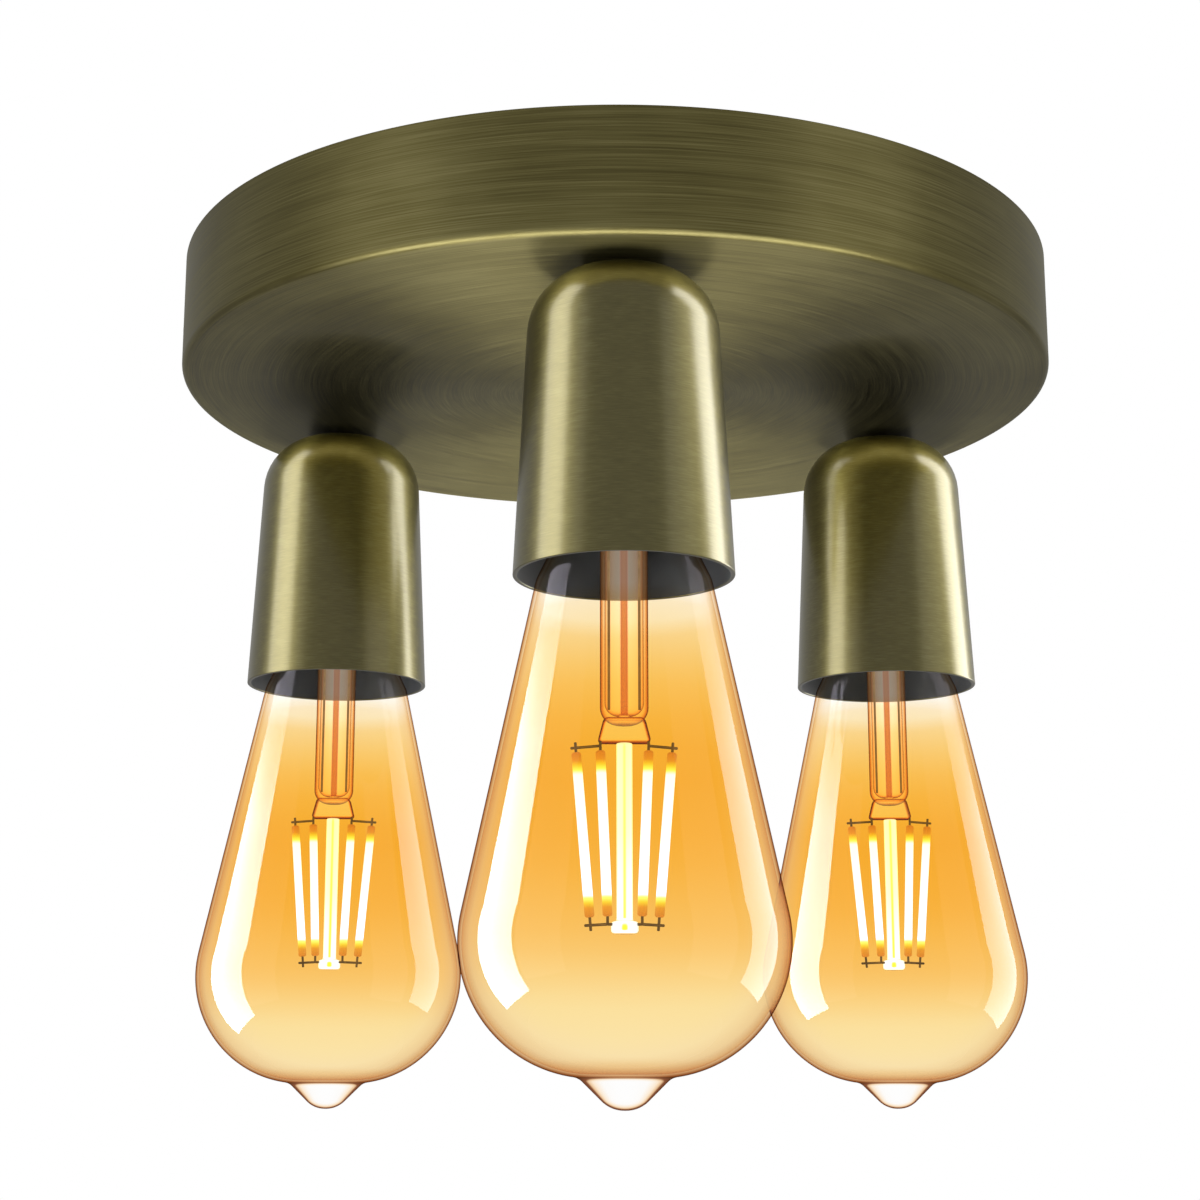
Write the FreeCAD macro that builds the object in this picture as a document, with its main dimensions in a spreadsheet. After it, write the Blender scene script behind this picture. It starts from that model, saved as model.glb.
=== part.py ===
import FreeCAD, Part
import math
import os
from types import SimpleNamespace

import Sketcher

# A semi flush ceiling light: a shallow round cover against the ceiling carries three
# metal cups, and a teardrop bulb screws into the holder inside each cup.
# Z points up, z = 0 is the ceiling, and the light hangs below it on the Z axis.

Vector = FreeCAD.Vector
doc = FreeCAD.newDocument("CeilingLight")

# ---------------------------------------------------------------- driving sizes (mm, degrees)

ROWS = (
    ("cover_diameter", 204.0, "outside of the ceiling cover"),
    ("cover_depth", 27.0, "ceiling to the underside of the cover"),
    ("cover_wall", 1.0, "spun sheet of the cover"),
    ("cover_edge", 1.6, "outside rounding of the lower edge"),
    ("station_radius", 79.5, "centre of the cover to the axis of a lamp"),
    ("bracket_width", 25.0, "crossbar under the ceiling"),
    ("bracket_thickness", 2.0, "strip that the crossbar is bent from"),
    ("bracket_tab", 19.0, "ceiling to the foot of a bent end"),
    ("bracket_gap", 0.3, "corners of a bent end to the inside of the cover"),
    ("slot_width", 4.6, "slots for the ceiling screws"),
    ("slot_length", 16.0, "overall length of a slot"),
    ("slot_spacing", 120.0, "centre to centre of the two slots"),
    ("cable_hole", 12.0, "hole for the supply cable in the crossbar"),
    ("cable_hole_offset", 31.0, "centre of the cover to the cable hole"),
    ("grommet_bore", 8.5, "passage through the grommet"),
    ("grommet_rim", 1.6, "how far the grommet stands over the hole"),
    ("grommet_lip", 1.5, "thickness of a grommet rim"),
    ("side_screw", 4.0, "thread of the two screws in the side of the cover"),
    ("side_screw_head", 7.0, "diameter of their heads"),
    ("side_screw_crown", 1.2, "height of their heads"),
    ("side_screw_length", 8.0, "thread under the head"),
    ("side_screw_drop", 12.0, "ceiling to the axis of the side screws"),
    ("hole_clearance", 0.2, "hole over the piece that passes it, on the radius"),
    ("thread_clearance", 0.05, "threaded piece in its thread, on the radius"),
    ("nipple_diameter", 10.0, "hollow threaded tube that carries a cup"),
    ("nipple_bore", 7.6, "wire way through it"),
    ("nipple_below", 9.0, "underside of the cover to its lower end"),
    ("nipple_proud", 1.5, "how far it stands over its nut"),
    ("washer_diameter", 17.0, "toothed washer under the nut"),
    ("washer_thickness", 1.2, "toothed washer"),
    ("nut_flats", 14.0, "lock nut across its flats"),
    ("nut_thickness", 3.5, "lock nut"),
    ("cup_mouth", 44.2, "outside of a cup at its mouth"),
    ("cup_length", 63.5, "top of a cup to its mouth"),
    ("cup_taper", 2.8, "slope of the side, degrees from vertical"),
    ("cup_shoulder", 13.6, "rounding from the top to the side"),
    ("cup_wall", 0.9, "drawn sheet of a cup"),
    ("holder_diameter", 34.0, "outside of a lamp holder"),
    ("holder_neck", 17.0, "threaded neck of the holder"),
    ("holder_neck_length", 7.0, "height of that neck"),
    ("holder_cone", 5.0, "height of the cone under the neck"),
    ("holder_length", 51.6, "top of its neck to its foot"),
    ("holder_head", 15.32, "top of its neck to the floor of its terminal chamber"),
    ("holder_seat", 11.6, "flat top of the neck, clear of the rounding of the cup"),
    ("holder_chamfer", 1.0, "drop from that flat to the side of the neck"),
    ("holder_edge", 1.0, "rounding of its foot"),
    ("holder_floor", 4.0, "floor between the terminals and the lamp cap"),
    ("chamber_diameter", 22.0, "terminal chamber"),
    ("chamber_height", 5.4, "terminal chamber"),
    ("terminal_diameter", 3.6, "post that clamps a lead in the holder"),
    ("terminal_rise", 2.2, "height of that post over the floor"),
    ("rivet_diameter", 2.0, "rivet from a post down to its contact"),
    ("live_post", 4.6, "axis of the holder to its live post"),
    ("neutral_post", 8.8, "axis of the holder to its neutral post"),
    ("tongue_width", 5.0, "spring tongue of the centre contact"),
    ("tongue_thickness", 0.5, "spring tongue"),
    ("tongue_gap", 0.25, "spring tongue to the contact of the lamp"),
    ("contact_drop", 4.48, "floor of the holder to the contact of a lamp that is screwed home"),
    ("thread_pitch", 3.629, "rolled lamp thread"),
    ("shell_bore", 26.8, "screw shell between its ridges"),
    ("shell_wall", 0.4, "screw shell"),
    ("shell_eye", 15.0, "opening in the top of the screw shell"),
    ("shell_turns", 5.5, "turns of ridge in the shell"),
    ("ridge_height", 0.9, "ridge of either thread"),
    ("ridge_base", 1.9, "width of a ridge at its root"),
    ("ridge_crest", 0.8, "width of a ridge at its crest"),
    ("ridge_root", 0.2, "how deep a ridge is rooted in its wall"),
    ("cap_core", 24.4, "lamp cap between its ridges"),
    ("cap_wall", 0.35, "sheet of the lamp cap"),
    ("cap_turns", 4.5, "turns of ridge on the cap"),
    ("cap_length", 26.5, "contact to the rim of the cap"),
    ("cap_rim", 26.1, "diameter of the rim of the cap"),
    ("cap_eye", 20.6, "opening in the top of the cap"),
    ("cap_top", 4.8, "contact down to the top of the cap"),
    ("insulator_clearance", 0.3, "insulator in the eye of the cap, on the radius"),
    ("insulator_shelf", 1.0, "shelf of the insulator round the contact"),
    ("insulator_edge", 0.6, "rounding of that shelf"),
    ("contact_diameter", 9.6, "soldered contact of the lamp"),
    ("contact_height", 1.4, "soldered contact"),
    ("bulb_length", 142.0, "tip of the glass to the contact"),
    ("belly_drop", 110.3, "contact to the widest place of the glass"),
    ("belly_diameter", 64.0, "widest place of the glass"),
    ("belly_radius", 25.8, "rounding of the belly"),
    ("flank_angle", 12.1, "slope of the long flank, degrees from vertical"),
    ("glass_wall", 0.8, "blown glass"),
    ("neck_diameter", 23.2, "glass neck inside the cap"),
    ("neck_length", 15.5, "top of the neck to where it opens out"),
    ("neck_top_drop", 12.0, "contact to the top of the glass neck"),
    ("shoulder_drop", 39.8, "contact to the shoulder of the glass"),
    ("shoulder_radius", 7.0, "rounding of that shoulder"),
    ("neck_radius", 4.0, "hollow rounding above it"),
    ("tip_diameter", 17.6, "drawn glass tip where it leaves the belly"),
    ("tip_crown", 5.4, "end of that tip before it is rounded"),
    ("tip_radius", 6.2, "rounding of the tip"),
    ("stem_diameter", 9.5, "glass stem inside the bulb"),
    ("stem_wall", 0.9, "wall of the stem"),
    ("stem_drop", 68.6, "contact to the foot of the stem tube"),
    ("stem_round", 3.4, "rounding of the foot of the stem tube"),
    ("stem_hollow", 2.5, "rounding of its bore at the foot"),
    ("stem_flare", 8.5, "height of the flare that closes the neck"),
    ("stem_gap", 0.1, "flare of the stem to the inside of the neck"),
    ("pinch_width", 10.6, "pressed foot of the stem"),
    ("pinch_thickness", 4.2, "pressed foot of the stem"),
    ("pinch_height", 3.6, "pressed foot of the stem"),
    ("pinch_top", 8.0, "width of the pressed foot where it leaves the tube"),
    ("pinch_edge", 0.8, "rounding of the pressed foot"),
    ("exhaust_diameter", 1.8, "exhaust tube inside the stem"),
    ("rod_diameter", 3.2, "glass rod between the filaments"),
    ("rod_length", 34.4, "foot of the stem to the bead"),
    ("bead_diameter", 5.4, "bead under the rod"),
    ("bead_height", 2.4, "bead under the rod"),
    ("bead_edge", 0.7, "rounding of the bead"),
    ("filament_diameter", 1.9, "coated filament"),
    ("filament_rise", 32.0, "height of a filament"),
    ("filament_drop", 1.6, "foot of the stem to the top of the filaments"),
    ("outer_top", 9.4, "axis to the top of an outer filament"),
    ("outer_foot", 6.7, "axis to the foot of an outer filament"),
    ("inner_top", 4.7, "axis to the top of an inner filament"),
    ("inner_foot", 3.3, "axis to the foot of an inner filament"),
    ("filament_stagger", 1.3, "outer filaments behind the axis and inner ones before it"),
    ("wire_diameter", 0.55, "wires that hold the filaments"),
    ("wire_overhang", 1.2, "cross wire past an outer filament"),
    ("wire_above", 0.9, "top of a filament to the cross wire"),
    ("wire_below", 1.5, "foot of a filament to the cross wire"),
    ("tab_past", 1.1, "tab of an outer filament past its cross wire"),
    ("weld_gap", 0.05, "wires and tabs to the pieces they meet"),
    ("lead_in_radius", 3.0, "axis to the two wires inside the stem"),
    ("lead_in_foot", 3.0, "foot of the stem tube to the foot of those wires"),
    ("board_thickness", 1.0, "driver board in the cap"),
    ("board_clearance", 0.45, "driver board in the cap, on the radius"),
    ("capacitor_diameter", 5.0, "can on the driver board"),
    ("capacitor_height", 4.0, "can on the driver board"),
    ("capacitor_edge", 0.5, "rounding of that can"),
    ("block_length", 22.0, "terminal block along the crossbar"),
    ("block_reach", 8.0, "centre of the cover to the lamp side of the block"),
    ("block_width", 24.0, "terminal block across the crossbar"),
    ("block_height", 16.0, "terminal block"),
    ("block_wall", 2.4, "wall of the block"),
    ("pole_spacing", 7.6, "pole to pole"),
    ("pole_width", 4.4, "clamp cavity of a pole"),
    ("clamp_clearance", 0.15, "clamp in its cavity"),
    ("clamp_screw", 3.0, "screw of a clamp"),
    ("fixing_screw", 3.0, "screw that holds the block to the crossbar"),
    ("earth_screw_offset", 32.0, "centre of the cover to the earth screw"),
    ("earth_screw_head", 8.0, "head of the earth screw"),
    ("earth_screw_crown", 2.8, "head of the earth screw"),
    ("lead_diameter", 2.2, "insulated lead"),
    ("lead_spacing", 2.5, "lead above lead at the block"),
    ("lead_first_drop", 3.9, "ceiling to the highest lead"),
    ("lead_split", 1.9, "axis of a nipple to either lead in it"),
    ("lead_bend", 7.0, "bend of a lead inside the cover"),
    ("lead_exit", 6.0, "lamp side of the block to the first bend of a lead"),
    ("lead_swing", 4.0, "side of the block to a lead that passes it"),
    ("lead_radial", 38.0, "axis of the cover to where a lead runs along a radius"),
    ("lead_landing", 1.1, "top of a post to the last bend of its lead"),
    ("lead_run_out", 2.6, "foot of a nipple to where its leads part"),
    ("supply_entry", 3.0, "entries for the supply wires in the block"),
)

sheet = doc.addObject("Spreadsheet::Sheet", "Sizes")
for number, (alias, amount, note) in enumerate(ROWS, start=1):
    sheet.set(f"A{number}", alias)
    sheet.set(f"B{number}", str(amount))
    sheet.set(f"C{number}", note)
    sheet.setAlias(f"B{number}", alias)
doc.recompute()


class Size:
    """A length that keeps its number together with the sheet expression it comes from."""

    def __init__(self, text, value):
        self.text = text
        self.value = value

    def __add__(self, other):
        other = as_size(other)
        return Size(f"({self.text} + {other.text})", self.value + other.value)

    def __sub__(self, other):
        other = as_size(other)
        return Size(f"({self.text} - {other.text})", self.value - other.value)

    def __mul__(self, factor):
        factor = as_size(factor)
        return Size(f"({self.text} * {factor.text})", self.value * factor.value)

    def __truediv__(self, divisor):
        divisor = as_size(divisor)
        return Size(f"({self.text} / {divisor.text})", self.value / divisor.value)

    def __neg__(self):
        return Size(f"(0 - {self.text})", -self.value)


def as_size(amount):
    return amount if isinstance(amount, Size) else Size(repr(float(amount)), float(amount))


def cosine(angle):
    return Size(f"cos({angle.text} * 1 deg)", math.cos(math.radians(angle.value)))


def tangent(angle):
    return Size(f"tan({angle.text} * 1 deg)", math.tan(math.radians(angle.value)))


def leg(slant, other):
    """The third side of a right-angled triangle."""
    squares = slant * slant - other * other
    return Size(f"sqrt({squares.text})", math.sqrt(squares.value))


def hypotenuse(one, other):
    """The long side of a right-angled triangle."""
    squares = one * one + other * other
    return Size(f"sqrt({squares.text})", math.sqrt(squares.value))


def smaller(one, other):
    return Size(f"min({one.text}; {other.text})", min(one.value, other.value))


s =SimpleNamespace(**{alias: Size(f"Sizes.{alias}", float(sheet.get(alias))) for alias, _, _ in ROWS})

# ---------------------------------------------------------------- helpers

NODES = []


def bind(target, name, size):
    target.setExpression(name, as_size(size).text)


def keep(piece, label):
    """Name a finished piece and add it to the list of nodes."""
    piece.Label = label
    NODES.append(piece)
    return piece


def plane_of(body, role):
    return next(item for item in body.Origin.OriginFeatures if item.Role == role)


def corner_round(before, corner, after, radius):
    """Centre and two touching points of a rounding between two edges that meet at a corner."""
    to_before = (before - corner).normalize()
    to_after = (after - corner).normalize()
    half = to_before.getAngle(to_after) / 2
    reach = radius / math.tan(half)
    middle = (to_before + to_after).normalize()
    centre = corner + middle * (radius / math.sin(half))
    return centre, corner + to_before * reach, corner + to_after * reach


def outline(body, name, role, corners):
    """Closed sketch through corners (across, up) or (across, up, rounding), all bound to the sheet."""
    sketch = body.newObject("Sketcher::SketchObject", name)
    sketch.AttachmentSupport = [(plane_of(body, role), "")]
    sketch.MapMode = "FlatFace"
    sizes = [tuple(as_size(value) for value in corner) for corner in corners]
    points = [Vector(corner[0].value, corner[1].value, 0) for corner in sizes]
    count = len(points)
    ends = []
    for index, corner in enumerate(sizes):
        here = points[index]
        if len(corner) == 3:
            around = points[index - 1], here, points[(index + 1) % count]
            ends.append(corner_round(*around, corner[2].value))
        else:
            ends.append((None, here, here))
    for index in range(count):
        sketch.addGeometry(Part.LineSegment(ends[index][2], ends[(index + 1) % count][1]), False)
    for index, corner in enumerate(sizes):
        before, after = (index - 1) % count, index
        if len(corner) == 3:
            pin = round_corner(sketch, ends[index], points[index], before, after, corner[2])
        else:
            sketch.addConstraint(Sketcher.Constraint("Coincident", before, 2, after, 1))
            pin = (after, 1)
        for kind, size in (("DistanceX", corner[0]), ("DistanceY", corner[1])):
            place_point(sketch, kind, pin, size)
    return sketch


def round_corner(sketch, rounding, corner, before, after, radius):
    """Add the arc of a rounded corner, and a construction point where its edges would meet."""
    centre, first, second = rounding
    turn = (first - centre).cross(second - centre).z
    start, stop = (first, second) if turn > 0 else (second, first)
    angles = [math.atan2(point.y - centre.y, point.x - centre.x) for point in (start, stop)]
    circle = Part.Circle(centre, Vector(0, 0, 1), radius.value)
    arc = sketch.addGeometry(Part.ArcOfCircle(circle, *angles), False)
    pin = sketch.addGeometry(Part.Point(corner), True)
    ends = (1, 2) if turn > 0 else (2, 1)
    sketch.addConstraint(Sketcher.Constraint("Tangent", before, 2, arc, ends[0]))
    sketch.addConstraint(Sketcher.Constraint("Tangent", after, 1, arc, ends[1]))
    sketch.addConstraint(Sketcher.Constraint("PointOnObject", pin, 1, before))
    sketch.addConstraint(Sketcher.Constraint("PointOnObject", pin, 1, after))
    number = sketch.addConstraint(Sketcher.Constraint("Radius", arc, radius.value))
    sketch.setExpression(f"Constraints[{number}]", radius.text)
    return pin, 1


def place_point(sketch, kind, pin, size):
    """Hold one coordinate of a sketch point; a zero lies on the axis itself."""
    if size.value == 0:
        axis = -2 if kind == "DistanceX" else -1
        sketch.addConstraint(Sketcher.Constraint("PointOnObject", pin[0], pin[1], axis))
        return
    number = sketch.addConstraint(Sketcher.Constraint(kind, -1, 1, pin[0], pin[1], size.value))
    sketch.setExpression(f"Constraints[{number}]", size.text)


def revolve(body, name, corners, kind="Revolution"):
    """Turn an outline of (radius, height) corners about the Z axis of its body."""
    profile = outline(body, f"{name}_outline", "XZ_Plane", corners)
    feature = body.newObject(f"PartDesign::{kind}", name)
    feature.Profile = profile
    feature.ReferenceAxis = (profile, ["V_Axis"])
    feature.Angle = 360
    return feature


def turned(name, corners):
    body = doc.addObject("PartDesign::Body", name)
    revolve(body, f"{name}_turned", corners)
    return body


def ridge(body, name, corners, turns):
    """Sweep a ridge along the lamp thread, from an outline of (radius, height) corners."""
    profile = outline(body, f"{name}_outline", "XZ_Plane", corners)
    feature = body.newObject("PartDesign::AdditiveHelix", name)
    feature.Profile = profile
    feature.ReferenceAxis = (profile, ["V_Axis"])
    feature.Mode = 0
    bind(feature, "Pitch", s.thread_pitch)
    bind(feature, "Height", s.thread_pitch * turns)
    return feature


def extruded(name, role, corners, depth):
    """Pad an outline to both sides of an origin plane."""
    body = doc.addObject("PartDesign::Body", name)
    profile = outline(body, f"{name}_outline", role, corners)
    feature = body.newObject("PartDesign::Pad", f"{name}_pad")
    feature.Profile = profile
    feature.Midplane = True
    bind(feature, "Length", depth)
    return body


def move(piece, across=0, along=0, up=0):
    for axis, size in zip("xyz", (across, along, up)):
        bind(piece, f"Placement.Base.{axis}", size)
    return piece


def box(name, length, width, height, across=0, along=0, up=0):
    """A block centred on (across, along), with its foot at the height given."""
    block = doc.addObject("Part::Box", name)
    bind(block, "Length", length)
    bind(block, "Width", width)
    bind(block, "Height", height)
    return move(block, as_size(across) - length / 2, as_size(along) - width / 2, up)


def rod(name, diameter, height, across=0, along=0, up=0, axis="Z"):
    """A round bar from the place given, along Z or X."""
    bar = doc.addObject("Part::Cylinder", name)
    bind(bar, "Radius", as_size(diameter) / 2)
    bind(bar, "Height", height)
    if axis == "X":
        bar.Placement = FreeCAD.Placement(Vector(), FreeCAD.Rotation(Vector(0, 1, 0), 90))
    return move(bar, across, along, up)


def joined(name, pieces):
    fuse = doc.addObject("Part::MultiFuse", name)
    fuse.Shapes = pieces
    return fuse


def together(name, pieces):
    """Separate solids that share one node."""
    group = doc.addObject("Part::Compound", name)
    group.Links = pieces
    return group


def cut(name, base, tools):
    """Take one or more tools away from a base."""
    difference = doc.addObject("Part::Cut", name)
    difference.Base = base
    difference.Tool = tools[0] if len(tools) == 1 else together(f"{name}_tools", tools)
    return difference


def tube(points, radius, bend):
    """Round tube along straight runs joined by arcs that touch them."""
    edges = []
    start = points[0]
    for before, corner, after in zip(points, points[1:], points[2:]):
        limit = 0.45 * min((corner - before).Length, (after - corner).Length)
        half = (before - corner).getAngle(after - corner) / 2
        centre, first, second = corner_round(before, corner, after, min(bend, limit * math.tan(half)))
        middle = centre + (corner - centre).normalize() * (first - centre).Length
        edges += [Part.LineSegment(start, first), Part.Arc(first, middle, second)]
        start = second
    edges.append(Part.LineSegment(start, points[-1]))
    path = Part.Wire([edge.toShape() for edge in edges])
    heading = points[1] - points[0]
    section = Part.Wire([Part.Circle(points[0], heading, radius).toShape()])
    solid = path.makePipeShell([section], True, False)
    expected = math.pi * radius ** 2 * path.Length
    if abs(solid.Volume / expected - 1) > 0.02:
        raise RuntimeError(f"tube volume {solid.Volume:.1f} is not {expected:.1f}")
    return solid


def shaped(name, solids):
    """A node whose solids follow a bent route."""
    feature = doc.addObject("Part::Feature", name)
    feature.Shape = solids[0] if len(solids) == 1 else Part.makeCompound(solids)
    return feature


# ---------------------------------------------------------------- levels that pieces share

plate_under = -s.cover_depth
plate_top = plate_under + s.cover_wall
nut_foot = plate_top + s.washer_thickness
nipple_top = nut_foot + s.nut_thickness + s.nipple_proud
nipple_foot = plate_under - s.nipple_below
cup_inside = plate_under - s.cup_wall
mouth = plate_under - s.cup_length
holder_foot = cup_inside - s.holder_length
floor_top = cup_inside - s.holder_head
floor_under = floor_top - s.holder_floor
contact_top = floor_under - s.contact_drop
cap_foot = contact_top - s.cap_length
belly = contact_top - s.belly_drop
tip = contact_top - s.bulb_length
neck_top = contact_top - s.neck_top_drop
tube_foot = contact_top - s.stem_drop
stem_foot = tube_foot - s.pinch_height

STATIONS = (("front", -90), ("left", 150), ("right", 30))
FRONT = -90


def at_station(piece, label, azimuth, facing=None):
    """Set a piece, modelled about Z, on the axis of a lamp, facing outwards or the way given."""
    turn = (azimuth if facing is None else facing) - FRONT
    piece.Placement = FreeCAD.Placement(Vector(), FreeCAD.Rotation(Vector(0, 0, 1), turn))
    heading = math.radians(azimuth)
    move(piece, s.station_radius * math.cos(heading), s.station_radius * math.sin(heading), 0)
    return keep(piece, label)


def station_point(azimuth):
    heading = math.radians(azimuth)
    return Vector(math.cos(heading), math.sin(heading), 0) * s.station_radius.value


# ---------------------------------------------------------------- ceiling cover and its bracket


def make_cover():
    """A spun drum, open to the ceiling, with a hole for each nipple and each side screw."""
    outer = s.cover_diameter / 2
    inner = outer - s.cover_wall
    drum = turned("cover_drum", (
        (0, plate_under),
        (outer, plate_under, s.cover_edge),
        (outer, 0),
        (inner, 0),
        (inner, plate_top, s.cover_edge - s.cover_wall),
        (0, plate_top),
    ))
    tools = []
    for name, azimuth in STATIONS:
        heading = math.radians(azimuth)
        tools.append(rod(f"cover_hole_{name}", s.nipple_diameter + s.hole_clearance * 2, s.cover_wall * 3,
                         s.station_radius * math.cos(heading), s.station_radius * math.sin(heading),
                         plate_under - s.cover_wall))
    tools.append(rod("cover_side_hole", s.side_screw + s.hole_clearance * 2, s.cover_diameter * 1.1,
                     s.cover_diameter * -0.55, 0, -s.side_screw_drop, axis="X"))
    keep(cut("ceiling_cover_cut", drum, tools), "ceiling_cover")


def slot(name, across):
    """Round-ended slot through the crossbar, along X."""
    straight = s.slot_length - s.slot_width
    deep = s.bracket_thickness * 3
    foot = s.bracket_thickness * -2
    return joined(name, [
        box(f"{name}_middle", straight, s.slot_width, deep, across, 0, foot),
        rod(f"{name}_near", s.slot_width, deep, across - straight / 2, 0, foot),
        rod(f"{name}_far", s.slot_width, deep, across + straight / 2, 0, foot),
    ])


def make_bracket():
    """Crossbar against the ceiling, with ends bent down to take the side screws."""
    half = leg(s.cover_diameter / 2 - s.cover_wall - s.bracket_gap, s.bracket_width / 2)
    thick = s.bracket_thickness
    bent = extruded("bracket_strip", "XZ_Plane", (
        (-half, 0, thick * 1.5),
        (half, 0, thick * 1.5),
        (half, -s.bracket_tab),
        (half - thick, -s.bracket_tab),
        (half - thick, -thick, thick / 2),
        (thick - half, -thick, thick / 2),
        (thick - half, -s.bracket_tab),
        (-half, -s.bracket_tab),
    ), s.bracket_width)
    tools = [
        slot("slot_left", s.slot_spacing / -2),
        slot("slot_right", s.slot_spacing / 2),
        rod("cable_hole_cut", s.cable_hole, thick * 3, -s.cable_hole_offset, 0, thick * -2),
        rod("tab_holes", s.side_screw + s.thread_clearance * 2, s.cover_diameter,
            s.cover_diameter / -2, 0, -s.side_screw_drop, axis="X"),
        rod("earth_hole", s.side_screw + s.thread_clearance * 2, thick * 3,
            s.earth_screw_offset, -s.pole_spacing, thick * -2),
        rod("fixing_hole", s.fixing_screw + s.thread_clearance * 2, thick * 3,
            *block_screw_place(), thick * -2),
    ]
    keep(cut("bracket_cut", bent, tools), "mounting_bracket")


def make_grommet():
    """Soft ring that lines the cable hole and grips the crossbar between two rims."""
    bore = s.grommet_bore / 2
    waist = s.cable_hole / 2
    rim = waist + s.grommet_rim
    under = -s.bracket_thickness
    ring = turned("grommet_ring", (
        (bore, 0),
        (waist - s.thread_clearance, 0),
        (waist - s.thread_clearance, under),
        (rim, under),
        (rim, under - s.grommet_lip, s.grommet_lip * 0.6),
        (bore, under - s.grommet_lip, s.grommet_lip * 0.3),
    ))
    keep(move(ring, -s.cable_hole_offset, 0, 0), "cable_grommet")


def make_side_screws():
    """Two low round-headed screws through the side of the cover into the bent ends."""
    outer = s.cover_diameter / 2
    shank = s.side_screw / 2
    head = s.side_screw_head / 2
    screws = []
    for name, turn in (("right", 90), ("left", -90)):
        screw = turned(f"side_screw_{name}", (
            (0, -s.side_screw_length),
            (shank, -s.side_screw_length, shank * 0.3),
            (shank, 0),
            (head, 0),
            (head, s.side_screw_crown, s.side_screw_crown * 0.7),
            (0, s.side_screw_crown),
        ))
        screw.Placement = FreeCAD.Placement(Vector(), FreeCAD.Rotation(Vector(0, 1, 0), turn))
        screws.append(move(screw, outer * math.copysign(1, turn), 0, -s.side_screw_drop))
    keep(together("side_screw_pair", screws), "side_screws")


# ---------------------------------------------------------------- wiring inside the cover


def block_screw_place():
    """The block's own screw stands between the supply entries of two poles."""
    return s.block_reach - s.block_length + s.fixing_screw, s.pole_spacing / 2


def make_terminal_block():
    """Three-pole block under the crossbar, with its clamps, their screws and its own screw."""
    under = -s.bracket_thickness
    foot = under - s.block_height
    cavity_length = s.block_length - s.block_wall * 2 - s.fixing_screw * 2
    cavity_middle = s.block_reach - s.block_wall - cavity_length / 2
    block = box("block_body", s.block_length, s.block_width, s.block_height,
                s.block_reach - s.block_length / 2, 0, foot)
    tools = [rod("block_fixing_hole", s.fixing_screw + s.hole_clearance * 2, s.block_height * 2,
                 *block_screw_place(), foot - s.block_height / 2)]
    clamps = []
    screws = []
    for pole in (-1, 0, 1):
        along = s.pole_spacing * pole
        name = f"pole_{pole + 2}"
        tools.append(box(f"{name}_cavity", cavity_length, s.pole_width, s.block_height,
                         cavity_middle, along, foot - s.block_wall))
        clamp = box(f"{name}_clamp", cavity_length - s.clamp_clearance * 2,
                    s.pole_width - s.clamp_clearance * 2, s.block_height - s.block_wall * 2,
                    cavity_middle, along, foot + s.block_wall)
        thread = rod(f"{name}_thread", s.clamp_screw + s.thread_clearance * 2, s.block_height / 3,
                     cavity_middle, along, foot)
        clamps.append(cut(f"{name}_clamp_tapped", clamp, [thread]))
        screws.append(rod(f"{name}_screw", s.clamp_screw, s.block_height / 4, cavity_middle, along,
                          foot + s.block_wall / 4))
        tools.append(rod(f"{name}_supply", s.supply_entry, s.block_length / 2, s.block_reach - s.block_length,
                         along, foot + s.block_height / 2, axis="X"))
    tools += lead_entries()
    keep(cut("block_cut", block, tools), "terminal_block")
    keep(together("clamp_set", clamps), "terminal_clamps")
    keep(together("clamp_screw_set", screws), "terminal_screws")
    fixing = joined("fixing_parts", [
        rod("fixing_shank", s.fixing_screw, s.block_height + s.bracket_thickness,
            *block_screw_place(), foot),
        rod("fixing_head", s.fixing_screw * 1.8, s.fixing_screw * 0.6, *block_screw_place(),
            foot - s.fixing_screw * 0.6),
    ])
    keep(fixing, "block_screw")


def lead_level(rank):
    """Height of a lead inside the cover: every lead has a level of its own."""
    return -s.lead_first_drop - s.lead_spacing * rank


def lead_entries():
    """Round entries in the lamp side of the block, one above another in each pole."""
    entries = []
    for rank in range(6):
        along = s.pole_spacing * (1 if rank < 3 else 0)
        entries.append(rod(f"entry_{rank}", s.lead_diameter + s.hole_clearance * 2, s.block_wall * 2,
                           s.block_reach - s.block_wall, along, lead_level(rank), axis="X"))
    entries.append(rod("earth_entry", s.lead_diameter + s.hole_clearance * 2, s.block_wall * 2,
                       s.block_reach - s.block_wall, -s.pole_spacing, lead_level(0), axis="X"))
    return entries


def lead_corners(name, pole):
    """Corners of a lead in plan, from its straight exit to where it turns to its lamp."""
    reach = s.block_reach.value + s.lead_exit.value
    side = s.block_width.value / 2 + s.lead_swing.value
    beyond = side + s.lead_exit.value * 2
    corners = {
        "right": [],
        "left": [(reach + s.lead_swing.value, side), (s.block_reach.value / 2, beyond)],
        "front": [(reach, -side), (s.block_reach.value, -beyond)],
    }
    return [(reach, pole)] + corners[name]


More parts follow.
